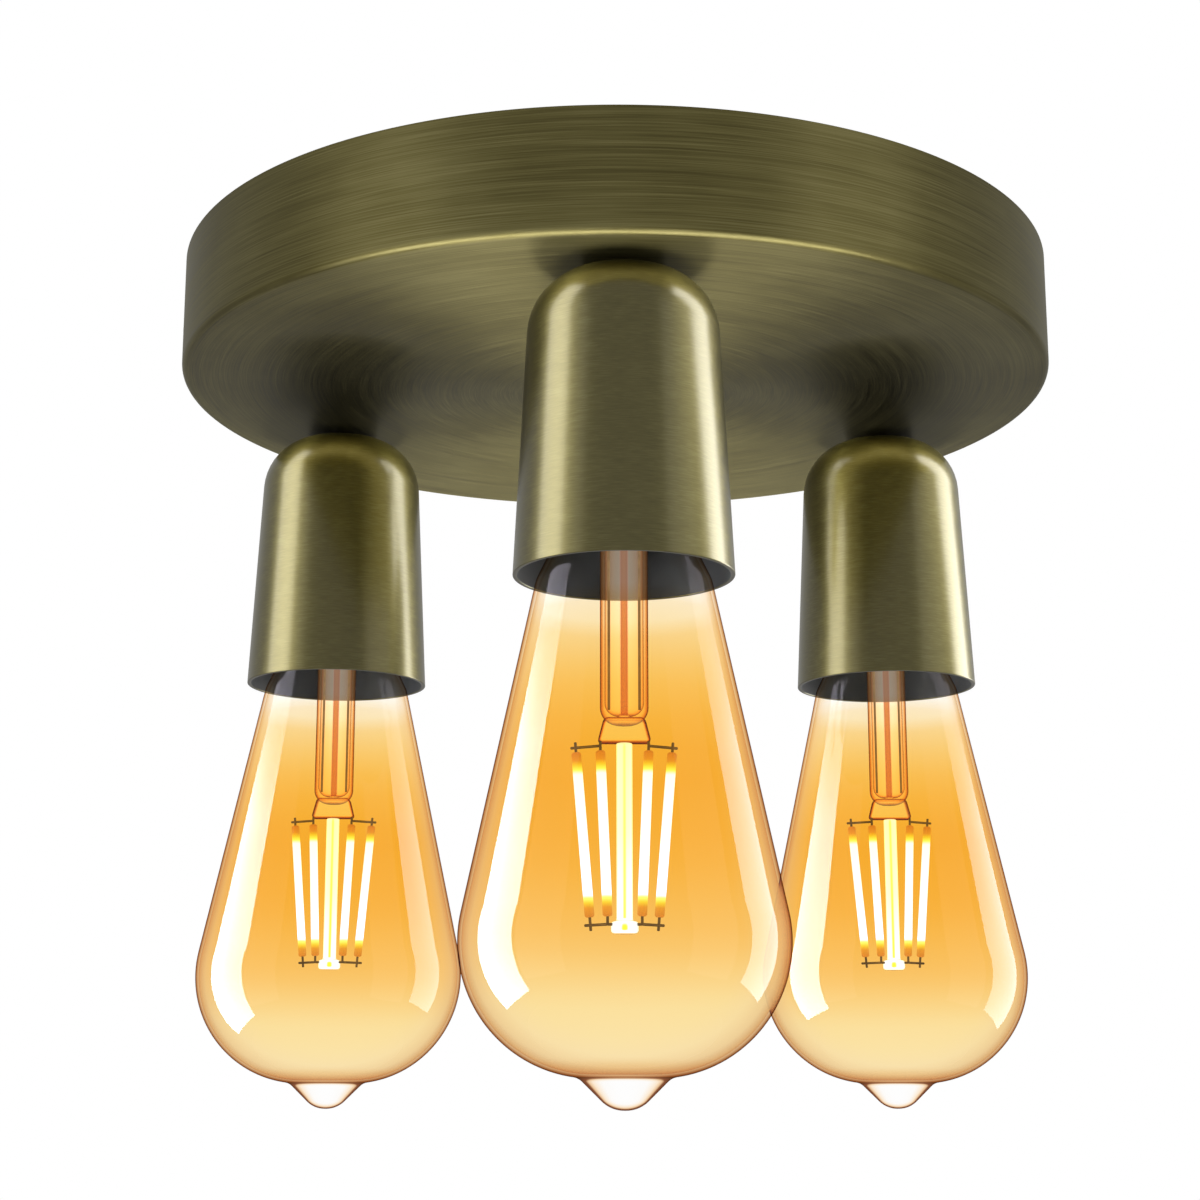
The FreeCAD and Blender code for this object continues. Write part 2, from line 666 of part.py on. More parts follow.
def lead_route(name, azimuth, rank, side):
    """Points of a lead from its entry in the block, over its nipple and down to its post."""
    level = lead_level(rank).value
    pole = s.pole_spacing.value * (1 if side < 0 else 0)
    heading = math.radians(azimuth)
    out = Vector(math.cos(heading), math.sin(heading), 0)
    beside = Vector(-math.sin(heading), math.cos(heading), 0) * side
    across = beside * s.lead_split.value
    post = beside * (s.live_post if side < 0 else s.neutral_post).value
    axis = station_point(azimuth)
    lift = Vector(0, 0, level)
    parting = Vector(0, 0, (nipple_foot - s.lead_run_out).value)
    landing = Vector(0, 0, (floor_top + s.terminal_rise).value)
    points = [Vector((s.block_reach - s.block_wall + s.hole_clearance).value, pole, level)]
    points += [Vector(x, y, level) for x, y in lead_corners(name, pole)]
    points += [out * s.lead_radial.value + across + lift, axis + across + lift, axis + across + parting]
    points += [axis + post + landing + Vector(0, 0, s.lead_landing.value), axis + post + landing]
    return points


def make_leads():
    """Live leads (side -1) and neutral leads (side 1) of the three lamps, and the earth lead."""
    radius = s.lead_diameter.value / 2
    order = ("right", "left", "front")
    azimuths = dict(STATIONS)
    for label, side, first in (("live_leads", -1, 0), ("neutral_leads", 1, 3)):
        solids = []
        for offset, name in enumerate(order):
            route = lead_route(name, azimuths[name], first + offset, side)
            solids.append(tube(route, radius, s.lead_bend.value))
        keep(shaped(f"{label}_tubes", solids), label)
    start = s.block_reach - s.block_wall + s.hole_clearance
    reach = s.earth_screw_offset - s.earth_screw_head / 2 - start
    keep(rod("earth_tube", s.lead_diameter, reach, start, -s.pole_spacing, lead_level(0), axis="X"),
         "earth_lead")
    screw = joined("earth_screw_parts", [
        rod("earth_head", s.earth_screw_head, s.earth_screw_crown, s.earth_screw_offset,
            -s.pole_spacing, -s.bracket_thickness - s.earth_screw_crown),
        rod("earth_shank", s.side_screw, s.bracket_thickness, s.earth_screw_offset,
            -s.pole_spacing, -s.bracket_thickness),
    ])
    keep(screw, "earth_screw")


# ---------------------------------------------------------------- what each lamp hangs from


def make_nipple(name, azimuth):
    wide = s.nipple_diameter / 2
    piece = turned(f"nipple_{name}_turned", (
        (s.nipple_bore / 2, nipple_top),
        (wide, nipple_top),
        (wide, nipple_foot),
        (s.nipple_bore / 2, nipple_foot),
    ))
    at_station(piece, f"nipple_{name}", azimuth)


def hexagon(flats):
    reach = flats / math.sqrt(3)
    return [(reach * math.cos(math.radians(60 * k)), reach * math.sin(math.radians(60 * k)))
            for k in range(6)]


def make_nuts_and_washers():
    """A lock nut over a washer on each nipple, inside the cover."""
    nuts = []
    washers = []
    for name, azimuth in STATIONS:
        heading = math.radians(azimuth)
        place = s.station_radius * math.cos(heading), s.station_radius * math.sin(heading)
        blank = extruded(f"nut_{name}", "XY_Plane", hexagon(s.nut_flats), s.nut_thickness)
        move(blank, *place, nut_foot + s.nut_thickness / 2)
        thread = rod(f"nut_thread_{name}", s.nipple_diameter + s.thread_clearance * 2,
                     s.nut_thickness * 2, *place, nut_foot - s.nut_thickness / 2)
        nuts.append(cut(f"nut_{name}_tapped", blank, [thread]))
        bore = s.nipple_diameter / 2 + s.hole_clearance
        edge = s.washer_diameter / 2
        washer = turned(f"washer_{name}", (
            (bore, plate_top), (edge, plate_top), (edge, nut_foot), (bore, nut_foot)))
        washers.append(move(washer, *place, 0))
    keep(together("nut_set", nuts), "lock_nuts")
    keep(together("washer_set", washers), "lock_washers")


def make_cup(name, azimuth):
    """A deep drawn cup: flat top with a hole, round shoulder, side that widens to the mouth."""
    slope = tangent(s.cup_taper)
    wide = s.cup_mouth / 2
    top_corner = wide - s.cup_length * slope
    across_wall = s.cup_wall / cosine(s.cup_taper)
    inner_corner = top_corner + s.cup_wall * slope - across_wall
    bore = s.nipple_diameter / 2 + s.hole_clearance
    cup = turned(f"cup_{name}_drawn", (
        (bore, plate_under),
        (top_corner, plate_under, s.cup_shoulder),
        (wide, mouth),
        (wide - across_wall, mouth),
        (inner_corner, cup_inside, s.cup_shoulder - s.cup_wall),
        (bore, cup_inside),
    ))
    at_station(cup, f"cup_{name}", azimuth)


def post_place(side):
    """Place of a terminal post in the lamp's own frame: leads lie across the radius."""
    return -s.live_post if side < 0 else s.neutral_post


def make_holder(name, azimuth):
    """Moulded body: neck on the nipple, terminal chamber, floor, and a bore for the screw shell."""
    neck = s.holder_neck / 2
    wide = s.holder_diameter / 2
    entry = s.nipple_diameter / 2 + s.thread_clearance
    chamber = s.chamber_diameter / 2
    neck_foot = cup_inside - s.holder_neck_length
    bore = s.shell_bore / 2 + s.shell_wall + s.thread_clearance
    body = turned(f"holder_{name}_moulded", (
        (entry, cup_inside),
        (s.holder_seat / 2, cup_inside),
        (neck, cup_inside - s.holder_chamfer),
        (neck, neck_foot),
        (wide, neck_foot - s.holder_cone),
        (wide, holder_foot, s.holder_edge),
        (bore, holder_foot),
        (bore, floor_under),
        (0, floor_under),
        (0, floor_top),
        (chamber, floor_top),
        (chamber, floor_top + s.chamber_height),
        (entry, floor_top + s.chamber_height),
    ))
    tools = [rod(f"rivet_hole_{name}_{side}", s.rivet_diameter + s.thread_clearance * 2,
                 s.holder_floor * 2, post_place(side), 0, floor_under - s.holder_floor / 2)
             for side in (-1, 1)]
    at_station(cut(f"holder_{name}_cut", body, tools), f"lampholder_{name}", azimuth)


def make_shell(name, azimuth):
    """Screw shell: a thin threaded tube with an inward flange under the holder's floor."""
    bore = s.shell_bore / 2
    outer = bore + s.shell_wall
    foot = holder_foot + s.shell_wall * 3
    shell = turned(f"shell_{name}_rolled", (
        (s.shell_eye / 2, floor_under),
        (outer, floor_under),
        (outer, foot),
        (bore, foot),
        (bore, floor_under - s.shell_wall),
        (s.shell_eye / 2, floor_under - s.shell_wall),
    ))
    middle = thread_start() - s.thread_pitch / 2
    ridge(shell, f"shell_{name}_ridge", (
        (bore + s.ridge_root, middle - s.ridge_base / 2),
        (bore + s.ridge_root, middle + s.ridge_base / 2),
        (bore - s.ridge_height, middle + s.ridge_crest / 2),
        (bore - s.ridge_height, middle - s.ridge_crest / 2),
    ), s.shell_turns)
    at_station(shell, f"screw_shell_{name}", azimuth)


def thread_start():
    """Height of the middle of the cap's ridge at its lower end."""
    return cap_foot + s.thread_pitch


def make_centre_contact(name, azimuth):
    """Spring tongue under the floor, riveted at the live post and bent down to the lamp."""
    thick = s.tongue_thickness
    low = contact_top + s.tongue_gap
    outer = -s.live_post - s.rivet_diameter
    bend = -s.live_post + s.rivet_diameter * 0.8
    landing = s.rivet_diameter * -0.6
    tongue = extruded(f"tongue_{name}", "XZ_Plane", (
        (outer, floor_under),
        (outer, floor_under - thick),
        (bend, floor_under - thick),
        (landing, low),
        (s.rivet_diameter, low),
        (s.rivet_diameter, low + thick),
        (landing + thick / 2, low + thick),
        (bend + thick / 2, floor_under),
    ), s.tongue_width)
    at_station(tongue, f"centre_contact_{name}", azimuth)


def make_posts():
    """Clamp posts on the floor of each holder, with rivets down to the two contacts."""
    posts = []
    for name, azimuth in STATIONS:
        for side in (-1, 1):
            tag = f"{name}_{'live' if side < 0 else 'neutral'}"
            post = joined(f"post_{tag}", [
                rod(f"post_head_{tag}", s.terminal_diameter, s.terminal_rise, post_place(side), 0, floor_top),
                rod(f"post_rivet_{tag}", s.rivet_diameter, s.holder_floor, post_place(side), 0, floor_under),
            ])
            post.Placement = FreeCAD.Placement(Vector(), FreeCAD.Rotation(Vector(0, 0, 1), azimuth + 90))
            heading = math.radians(azimuth)
            posts.append(move(post, s.station_radius * math.cos(heading),
                              s.station_radius * math.sin(heading), 0))
    keep(together("post_set", posts), "holder_terminals")


# ---------------------------------------------------------------- the bulb


def glass_corners(inset, top):
    """Outline of the glass, or of its inside when the wall is the inset."""
    slope = tangent(s.flank_angle)
    radius = s.belly_radius - inset
    middle = s.belly_diameter / 2 - s.belly_radius
    flank = middle + radius / cosine(s.flank_angle)
    bottom = belly - radius
    shoulder = contact_top - s.shoulder_drop - inset / 2
    opening = neck_top - s.neck_length
    return (
        (0, top),
        (s.neck_diameter / 2 - inset, top),
        (s.neck_diameter / 2 - inset, opening - inset / 2, s.neck_radius + inset),
        (flank - (shoulder - belly) * slope, shoulder, s.shoulder_radius - inset),
        (flank + radius * slope, bottom, radius * 0.999),
        (0, bottom),
    )


def tip_rounding():
    """Rounding of the drawn tip, limited by the flat that a long slim tip leaves for it."""
    flat = s.tip_crown / 2 - s.weld_gap
    run = s.tip_diameter / 2 - s.tip_crown / 2
    drop = belly - s.belly_radius - tip
    return smaller(s.tip_radius, flat * drop / (hypotenuse(run, drop) - run))


def make_glass(name, azimuth):
    """Blown envelope with its drawn tip, hollowed through the open neck."""
    glass = turned(f"glass_{name}_blown", glass_corners(as_size(0), neck_top))
    base = s.tip_diameter / 2
    bottom = belly - s.belly_radius
    revolve(glass, f"glass_{name}_tip", (
        (0, bottom + s.glass_wall),
        (base, bottom + s.glass_wall / 2),
        (base, bottom),
        (s.tip_crown / 2, tip, tip_rounding()),
        (0, tip),
    ))
    revolve(glass, f"glass_{name}_hollow", glass_corners(s.glass_wall, neck_top + s.glass_wall), "Groove")
    at_station(glass, f"bulb_glass_{name}", azimuth)


def make_cap(name, azimuth):
    """Threaded lamp cap: a thin shell with an eye at the top and a flared rim."""
    core = s.cap_core / 2
    inside = core - s.cap_wall
    top = contact_top - s.cap_top
    shoulder = s.cap_wall * 5
    cap = turned(f"cap_{name}_rolled", (
        (s.cap_eye / 2, top),
        (core, top, shoulder),
        (core, cap_foot + s.cap_wall * 4),
        (s.cap_rim / 2, cap_foot + s.cap_wall * 3),
        (s.cap_rim / 2, cap_foot),
        (inside, cap_foot),
        (inside, top - s.cap_wall, shoulder - s.cap_wall),
        (s.cap_eye / 2, top - s.cap_wall),
    ))
    middle = thread_start()
    ridge(cap, f"cap_{name}_ridge", (
        (core - s.ridge_root, middle - s.ridge_base / 2),
        (core + s.ridge_height, middle - s.ridge_crest / 2),
        (core + s.ridge_height, middle + s.ridge_crest / 2),
        (core - s.ridge_root, middle + s.ridge_base / 2),
    ), s.cap_turns)
    at_station(cap, f"bulb_cap_{name}", azimuth)


def make_insulator(name, azimuth):
    """Black glass button in the eye of the cap, and the soldered contact on top of it."""
    top = contact_top - s.contact_height
    foot = contact_top - s.cap_top - s.cap_wall
    wide = s.cap_eye / 2 - s.insulator_clearance
    button = turned(f"insulator_{name}_pressed", (
        (0, top), (s.contact_diameter / 2 + s.insulator_shelf, top, s.insulator_edge),
        (wide, contact_top - s.cap_top), (wide, foot), (0, foot)))
    at_station(button, f"bulb_insulator_{name}", azimuth)
    pip = turned(f"contact_{name}_soldered", (
        (0, contact_top), (s.contact_diameter / 2, contact_top, s.contact_height * 0.8),
        (s.contact_diameter / 2, top), (0, top)))
    at_station(pip, f"bulb_contact_{name}", azimuth)


def make_driver(name, azimuth):
    """Round driver board on the glass neck, with one capacitor."""
    board_edge = s.cap_core / 2 - s.cap_wall - s.board_clearance
    top = neck_top + s.board_thickness
    can = s.capacitor_diameter / 2
    driver = turned(f"driver_{name}_board", (
        (0, neck_top), (board_edge, neck_top), (board_edge, top), (can, top),
        (can, top + s.capacitor_height, s.capacitor_edge), (0, top + s.capacitor_height)))
    at_station(driver, f"bulb_driver_{name}", azimuth)


def make_stem(name, azimuth):
    """Flared glass stem that closes the neck, with its exhaust tube and its pressed foot."""
    outer = s.stem_diameter / 2
    inner = outer - s.stem_wall
    rim = s.neck_diameter / 2 - s.glass_wall - s.stem_gap
    low = neck_top - s.stem_flare
    exhaust = s.exhaust_diameter / 2
    stem = turned(f"stem_{name}_tube", (
        (rim, neck_top),
        (rim, neck_top - s.stem_wall),
        (outer, low, s.stem_flare * 0.6),
        (outer, tube_foot, s.stem_round),
        (0, tube_foot),
        (0, neck_top - s.stem_flare / 2),
        (exhaust, neck_top - s.stem_flare / 2),
        (exhaust, tube_foot + s.stem_wall * 2),
        (inner, tube_foot + s.stem_wall * 2, s.stem_hollow),
        (inner, low, s.stem_flare * 0.6),
        (rim - s.stem_wall, neck_top),
    ))
    shoulder = tube_foot - s.pinch_height / 2
    foot = extruded(f"stem_{name}_foot", "XZ_Plane", (
        (s.pinch_top / -2, tube_foot + s.stem_wall * 1.6),
        (s.pinch_top / 2, tube_foot + s.stem_wall * 1.6),
        (s.pinch_width / 2, shoulder, s.pinch_edge),
        (s.pinch_width / 2, stem_foot, s.pinch_edge),
        (s.pinch_width / -2, stem_foot, s.pinch_edge),
        (s.pinch_width / -2, shoulder, s.pinch_edge),
    ), s.pinch_thickness)
    at_station(joined(f"stem_{name}_joined", [stem, foot]), f"bulb_stem_{name}", azimuth, FRONT)


def make_support_rod(name, azimuth):
    """Clear glass rod under the stem, with a bead at its foot."""
    thin = s.rod_diameter / 2
    bead = s.bead_diameter / 2
    bead_top = stem_foot - s.rod_length
    piece = turned(f"rod_{name}_drawn", (
        (0, stem_foot),
        (thin, stem_foot),
        (thin, bead_top),
        (bead, bead_top, s.bead_edge),
        (bead, bead_top - s.bead_height, s.bead_edge),
        (0, bead_top - s.bead_height),
    ))
    at_station(piece, f"bulb_rod_{name}", azimuth)


def filament_ends(side):
    """Top and foot of the outer and the inner filament on one side, about the lamp's own axis."""
    top = (stem_foot - s.filament_drop).value
    foot = top - s.filament_rise.value
    depth = s.filament_stagger.value
    outer = Vector(s.outer_top.value * side, depth, top), Vector(s.outer_foot.value * side, depth, foot)
    inner = Vector(s.inner_top.value * side, -depth, top), Vector(s.inner_foot.value * side, -depth, foot)
    return outer, inner


def bar(start, stop, diameter):
    """Straight round solid between two points."""
    return Part.makeCylinder(diameter.value / 2, (stop - start).Length, start, stop - start)


def past(start, stop, distance):
    """The point that lies a distance beyond the end of a line."""
    return stop + (stop - start).normalize() * distance.value


def tab(start, stop, length):
    """Metal tab that goes on from the end of a filament."""
    return bar(past(start, stop, s.weld_gap), past(start, stop, length), s.wire_diameter)


def make_filaments(name, azimuth):
    ends = filament_ends(-1) + filament_ends(1)
    solids = [bar(top, foot, s.filament_diameter) for top, foot in ends]
    at_station(shaped(f"filaments_{name}_set", solids), f"filaments_{name}", azimuth, FRONT)


def upper_wires(side):
    """Cross wire over a pair of filaments, its riser to the pressed foot and the tabs on it."""
    outer, inner = filament_ends(side)
    lift = Vector(0, 0, s.wire_above.value)
    riser_top = Vector(inner[0].x, inner[0].y, (stem_foot - s.weld_gap).value)
    cross = bar(inner[0] + lift, past(inner[0], outer[0], s.wire_overhang) + lift, s.wire_diameter)
    riser = bar(inner[0] + lift, riser_top, s.wire_diameter)
    return cross.multiFuse([
        riser,
        tab(outer[1], outer[0], s.wire_above + s.tab_past),
        tab(inner[1], inner[0], s.wire_above),
    ])


def lower_wires(side):
    """Cross wire under a pair of filaments, its link to the bead and the tabs on it."""
    outer, inner = filament_ends(side)
    drop = Vector(0, 0, -s.wire_below.value)
    axis = Vector(0, 0, inner[1].z) + drop
    start = inner[1] + drop
    reach = start - axis
    bead_side = axis + reach * ((s.bead_diameter / 2 + s.weld_gap).value / reach.Length)
    cross = bar(start, past(inner[1], outer[1], s.wire_overhang) + drop, s.wire_diameter)
    link = bar(start, bead_side, s.wire_diameter)
    return cross.multiFuse([
        link,
        tab(outer[0], outer[1], s.wire_below + s.tab_past),
        tab(inner[0], inner[1], s.wire_below),
    ])


def lead_in(side):
    """Straight wire inside the stem tube, down to the glass that closes it."""
    across = s.lead_in_radius.value * side
    top = Vector(across, 0, (neck_top - s.weld_gap).value)
    foot = Vector(across, 0, (tube_foot + s.lead_in_foot).value)
    return bar(top, foot, s.wire_diameter)


def make_wires(name, azimuth):
    """Wires over and under each pair of filaments, and the two wires inside the stem."""
    wires = [make(side) for side in (-1, 1) for make in (upper_wires, lower_wires, lead_in)]
    at_station(shaped(f"wires_{name}_set", wires), f"bulb_wires_{name}", azimuth, FRONT)


# ---------------------------------------------------------------- build, check and write

make_cover()
make_bracket()
make_grommet()
make_side_screws()
make_terminal_block()
make_leads()
make_nuts_and_washers()
make_posts()
for station, azimuth in STATIONS:
    make_nipple(station, azimuth)
    make_cup(station, azimuth)
    make_holder(station, azimuth)
    make_shell(station, azimuth)
    make_centre_contact(station, azimuth)
    make_glass(station, azimuth)
    make_cap(station, azimuth)
    make_insulator(station, azimuth)
    make_driver(station, azimuth)
    make_stem(station, azimuth)
    make_support_rod(station, azimuth)
    make_filaments(station, azimuth)
    make_wires(station, azimuth)
doc.recompute()

failed = [item.Label for item in doc.Objects if {"Invalid", "Error"} & set(item.State)]
if failed:
    raise RuntimeError(f"objects that failed: {failed}")
for piece in NODES:
    if piece.Shape.isNull() or not piece.Shape.isValid() or not piece.Shape.Solids:
        raise RuntimeError(f"{piece.Label} has no valid solid")

os.makedirs("parts", exist_ok=True)
for piece in NODES:
    piece.Shape.exportStep(f"parts/{piece.Label}.step")
    print(f"{piece.Label}: {len(piece.Shape.Solids)} solid(s), {piece.Shape.Volume:.1f} mm3")
print(len(NODES), "nodes")
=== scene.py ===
# %% [markdown]
# # A semi flush ceiling light with teardrop filament bulbs
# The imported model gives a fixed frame: every piece at its true place, in metres, Z up, with the
# ceiling at zero. This lesson dresses that frame. Metal sheet is turned on a lathe from its
# outline, glass is blown with a real wall, and each finish is built from nodes in millimetres.

# %% Load the frame
import math

import bmesh
import bpy
from mathutils import Matrix, Vector


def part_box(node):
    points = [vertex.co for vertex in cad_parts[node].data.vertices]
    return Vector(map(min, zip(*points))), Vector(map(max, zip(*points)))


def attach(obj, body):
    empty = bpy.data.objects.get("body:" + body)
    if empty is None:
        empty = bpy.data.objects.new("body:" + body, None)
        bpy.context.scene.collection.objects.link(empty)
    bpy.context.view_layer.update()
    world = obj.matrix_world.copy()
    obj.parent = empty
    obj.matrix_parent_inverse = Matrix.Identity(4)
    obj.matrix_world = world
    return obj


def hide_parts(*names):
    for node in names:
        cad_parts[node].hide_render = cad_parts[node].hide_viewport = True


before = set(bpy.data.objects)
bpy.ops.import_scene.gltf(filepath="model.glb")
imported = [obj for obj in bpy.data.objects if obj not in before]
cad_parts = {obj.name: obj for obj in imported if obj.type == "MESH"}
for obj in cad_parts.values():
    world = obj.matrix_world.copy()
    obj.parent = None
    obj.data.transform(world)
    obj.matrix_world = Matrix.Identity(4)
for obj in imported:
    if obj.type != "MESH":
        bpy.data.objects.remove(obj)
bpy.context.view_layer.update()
MM = 0.001

# %% [markdown]
# ## Where the lamps hang
# The three lamps are alike, so each is modelled once about its own axis and then set in place.
# The axis comes from the frame: it is the middle of that lamp's threaded nipple.

# %% Axes and levels from the frame
LAMPS = ("front", "left", "right")


def middle_of(node):
    low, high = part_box(node)
    return (Vector(low) + Vector(high)) / 2


axes = {lamp: Vector((*middle_of(f"nipple_{lamp}").xy, 0)) for lamp in LAMPS}
cover_low, cover_high = (Vector(corner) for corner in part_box("ceiling_cover"))
cup_low, cup_high = (Vector(corner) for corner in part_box("cup_front"))
PLATE = cover_low.z
MOUTH = cup_low.z
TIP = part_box("bulb_glass_front")[0][2]
NECK_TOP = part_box("bulb_glass_front")[1][2]
STEM_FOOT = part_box("bulb_stem_front")[0][2]
print("plate", PLATE, "mouth", MOUTH, "tip", TIP)

# %% [markdown]
# ## Outlines
# `round_corners` takes the corners of an outline and rounds those that have a third value, a
# radius, so a profile needs no more points than a drawing of it would have.

# %% Outline helpers


def arc_points(centre, radius, start, stop, steps):
    """Points on an arc, from one angle in degrees to another."""
    angles = [math.radians(start + (stop - start) * k / steps) for k in range(steps + 1)]
    return [Vector((centre[0] + radius * math.cos(a), centre[1] + radius * math.sin(a))) for a in angles]


def rounded(before, corner, after, radius, steps):
    """Points of an arc that touches both edges at a corner."""
    to_before, to_after = (before - corner).normalized(), (after - corner).normalized()
    half = to_before.angle(to_after) / 2
    first = corner + to_before * (radius / math.tan(half))
    centre = corner + (to_before + to_after).normalized() * (radius / math.sin(half))
    arm = first - centre
    sweep = math.pi - 2 * half
    if to_before.cross(to_after) > 0:
        sweep = -sweep
    points = []
    for k in range(steps + 1):
        turn = sweep * k / steps
        points.append(centre + Vector((arm.x * math.cos(turn) - arm.y * math.sin(turn),
                                       arm.x * math.sin(turn) + arm.y * math.cos(turn))))
    return points


def round_corners(corners, steps=8, closed=True):
    """Outline through (radius, height) corners; a third value rounds a corner."""
    flat = [Vector(corner[:2]) for corner in corners]
    outline = []
    for index, corner in enumerate(corners):
        inner = closed or 0 < index < len(corners) - 1
        if len(corner) == 3 and inner:
            outline += rounded(flat[index - 1], flat[index], flat[(index + 1) % len(flat)], corner[2], steps)
        else:
            outline.append(flat[index])
    return outline


print("a quarter turn in 8 steps:", len(arc_points((0, 0), 1, 0, 90, 8)), "points")

# %% [markdown]
# ## Lathe and bench
# A lathe turns an outline about the vertical axis: that is how spun, drawn and blown pieces are
# made in the workshop too. A finished piece is smooth shaded, with its real edges kept sharp,
# and rides on the body of the frame that it belongs to.

# %% Lathe and finishing helpers
WELD = 1e-7


def lathe(bm, outline, steps, closed=True):
    """Turn an outline of (radius, height) points about the Z axis into a mesh."""
    verts = [bm.verts.new((point[0], 0, point[1])) for point in outline]
    pairs = list(zip(verts, verts[1:]))
    if closed:
        pairs.append((verts[-1], verts[0]))
    edges = [bm.edges.new(pair) for pair in pairs]
    bmesh.ops.spin(bm, geom=verts + edges, cent=(0, 0, 0), axis=(0, 0, 1), dvec=(0, 0, 0),
                   angle=math.tau, steps=steps, use_merge=True, use_duplicate=False)
    bmesh.ops.remove_doubles(bm, verts=bm.verts, dist=WELD)
    bmesh.ops.recalc_face_normals(bm, faces=bm.faces)
    return bm


def join_into(bm, part):
    """Copy one bmesh into another."""
    mesh = bpy.data.meshes.new("part")
    part.to_mesh(mesh)
    part.free()
    bm.from_mesh(mesh)
    bpy.data.meshes.remove(mesh)


def shift(bm, offset):
    bmesh.ops.translate(bm, verts=bm.verts, vec=offset)
    return bm


def finish_piece(name, bm, materials, body, node, sharp=40, mirrored=True):
    """Turn a bmesh into a smooth shaded piece that rides on a body in place of a node.

    A piece that isn't mirrored leaves no image in the glossy surfaces around it.
    """
    mesh = bpy.data.meshes.new(name)
    bm.to_mesh(mesh)
    bm.free()
    for polygon in mesh.polygons:
        polygon.use_smooth = True
    mesh.set_sharp_from_angle(angle=math.radians(sharp))
    piece = bpy.data.objects.new(name, mesh)
    bpy.context.scene.collection.objects.link(piece)
    for material in materials:
        mesh.materials.append(material)
    piece.visible_glossy = mirrored
    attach(piece, body)
    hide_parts(node)
    print(f"{name}: {len(mesh.polygons)} faces")
    return piece


print("points closer than", WELD, "m are welded")

# %% [markdown]
# ## Colours and nodes
# Colours are written as on a paint card, in sRGB hex, and turned to linear light by one function.
# One more function adds a node with its settings: a value that is a socket gets linked, any other
# is set. The short ones after it name what they make, so a material reads as a list.

# %% Colour and node helpers
WHITE = (1.0, 1.0, 1.0, 1.0)


def linear(hex_code):
    """sRGB hex to linear RGBA."""
    channels = [int(hex_code[k:k + 2], 16) / 255 for k in (0, 2, 4)]
    return tuple(c / 12.92 if c <= 0.04045 else ((c + 0.055) / 1.055) ** 2.4 for c in channels) + (1.0,)


def grey(level):
    return (level, level, level, 1.0)


def add(tree, kind, settings=None):
    """Add a shader node; each setting is a socket to link, a socket's value or a property."""
    node = tree.nodes.new("ShaderNode" + kind)
    for key, value in (settings or {}).items():
        if isinstance(value, bpy.types.NodeSocket):
            tree.links.new(value, node.inputs[key])
        elif isinstance(key, int) or key in node.inputs:
            node.inputs[key].default_value = value
        else:
            setattr(node, key, value)
    return node


def new_material(name):
    """An empty node material with its output."""
    material = bpy.data.materials.new(name)
    material.use_nodes = True
    material.node_tree.nodes.clear()
    return material, material.node_tree, add(material.node_tree, "OutputMaterial")


def ramp(tree, factor, stops):
    """Colour ramp through (position, hex or linear colour) stops."""
    node = add(tree, "ValToRGB", {"Fac": factor})
    elements = node.color_ramp.elements
    while len(elements) < len(stops):
        elements.new(0.5)
    for element, (position, colour) in zip(elements, stops):
        element.position = position
        element.color = linear(colour) if isinstance(colour, str) else colour
    return node.outputs["Color"]


def combine(tree, operation, first, second):
    """Math node on two values or sockets."""
    return add(tree, "Math", {"operation": operation, 0: first, 1: second}).outputs[0]


def on_vector(tree, operation, first, second=(0, 0, 0)):
    """Vector math node on two values or sockets."""
    return add(tree, "VectorMath", {"operation": operation, 0: first, 1: second}).outputs[0]


def remap(tree, value, start, stop, low=0.0, high=1.0, interpolation="LINEAR"):
    """Bring what lies between start and stop to between low and high, and hold it there."""
    return add(tree, "MapRange", {
        "interpolation_type": interpolation, "From Min": start, "From Max": stop,
        "To Min": low, "To Max": high, "Value": value}).outputs["Result"]


def mix_colour(tree, share, first, second, blend="MIX"):
    """Mix of two colours; the share is that of the second."""
    return add(tree, "Mix", {
        "data_type": "RGBA", "blend_type": blend, 0: share, 6: first, 7: second}).outputs[2]


def mix_value(tree, share, first, second):
    """Mix of two values; the share is that of the second."""
    return add(tree, "Mix", {"data_type": "FLOAT", 0: share, 2: first, 3: second}).outputs[0]


def object_place(tree):
    return add(tree, "TexCoord").outputs["Object"]


def noise(tree, place, lump, detail):
    """Noise with lumps of about the size given, in metres."""
    return add(tree, "TexNoise", {"Scale": 1 / lump, "Detail": detail, "Vector": place}).outputs["Fac"]


def bumped(tree, height, strength, depth):
    """Normal of a surface that a height pattern raises by up to a depth in metres."""
    return add(tree, "Bump", {"Strength": strength, "Distance": depth, "Height": height}).outputs["Normal"]


def looked_at(tree):
    """1 for what the camera sees, straight or through glass, and 0 for all other light."""
    path = add(tree, "LightPath")
    return combine(tree, "MAXIMUM", path.outputs["Is Camera Ray"], path.outputs["Is Transmission Ray"])


print("half grey in linear light:", round(linear("808080")[0], 3))

# %% [markdown]
# ## Camera
# The camera stands where the photograph was taken from: just below the bulbs' widest place,
# half a metre in front, looking up at the cover. It was found by fitting the outlines of the
# cover, the cups and the glass, and it needs no shift.

# %% Camera
CAMERA_PLACE = Vector((-11.1, -508.2, -192.0)) * MM
CAMERA_TILT = 12.715
CAMERA_TURN = -0.85
FOCAL_PIXELS = 2222.7
PHOTO_WIDTH = 1200
SENSOR = 36.0

scene = bpy.context.scene
camera_data = bpy.data.cameras.new("camera")
camera_data.sensor_width = SENSOR
camera_data.lens = FOCAL_PIXELS / PHOTO_WIDTH * SENSOR
camera_data.clip_start = 0.01
camera = bpy.data.objects.new("camera", camera_data)
camera.location = CAMERA_PLACE
camera.rotation_euler = (math.radians(90 + CAMERA_TILT), 0, math.radians(CAMERA_TURN))
scene.collection.objects.link(camera)
scene.camera = camera
print("lens", round(camera_data.lens, 2), "mm")

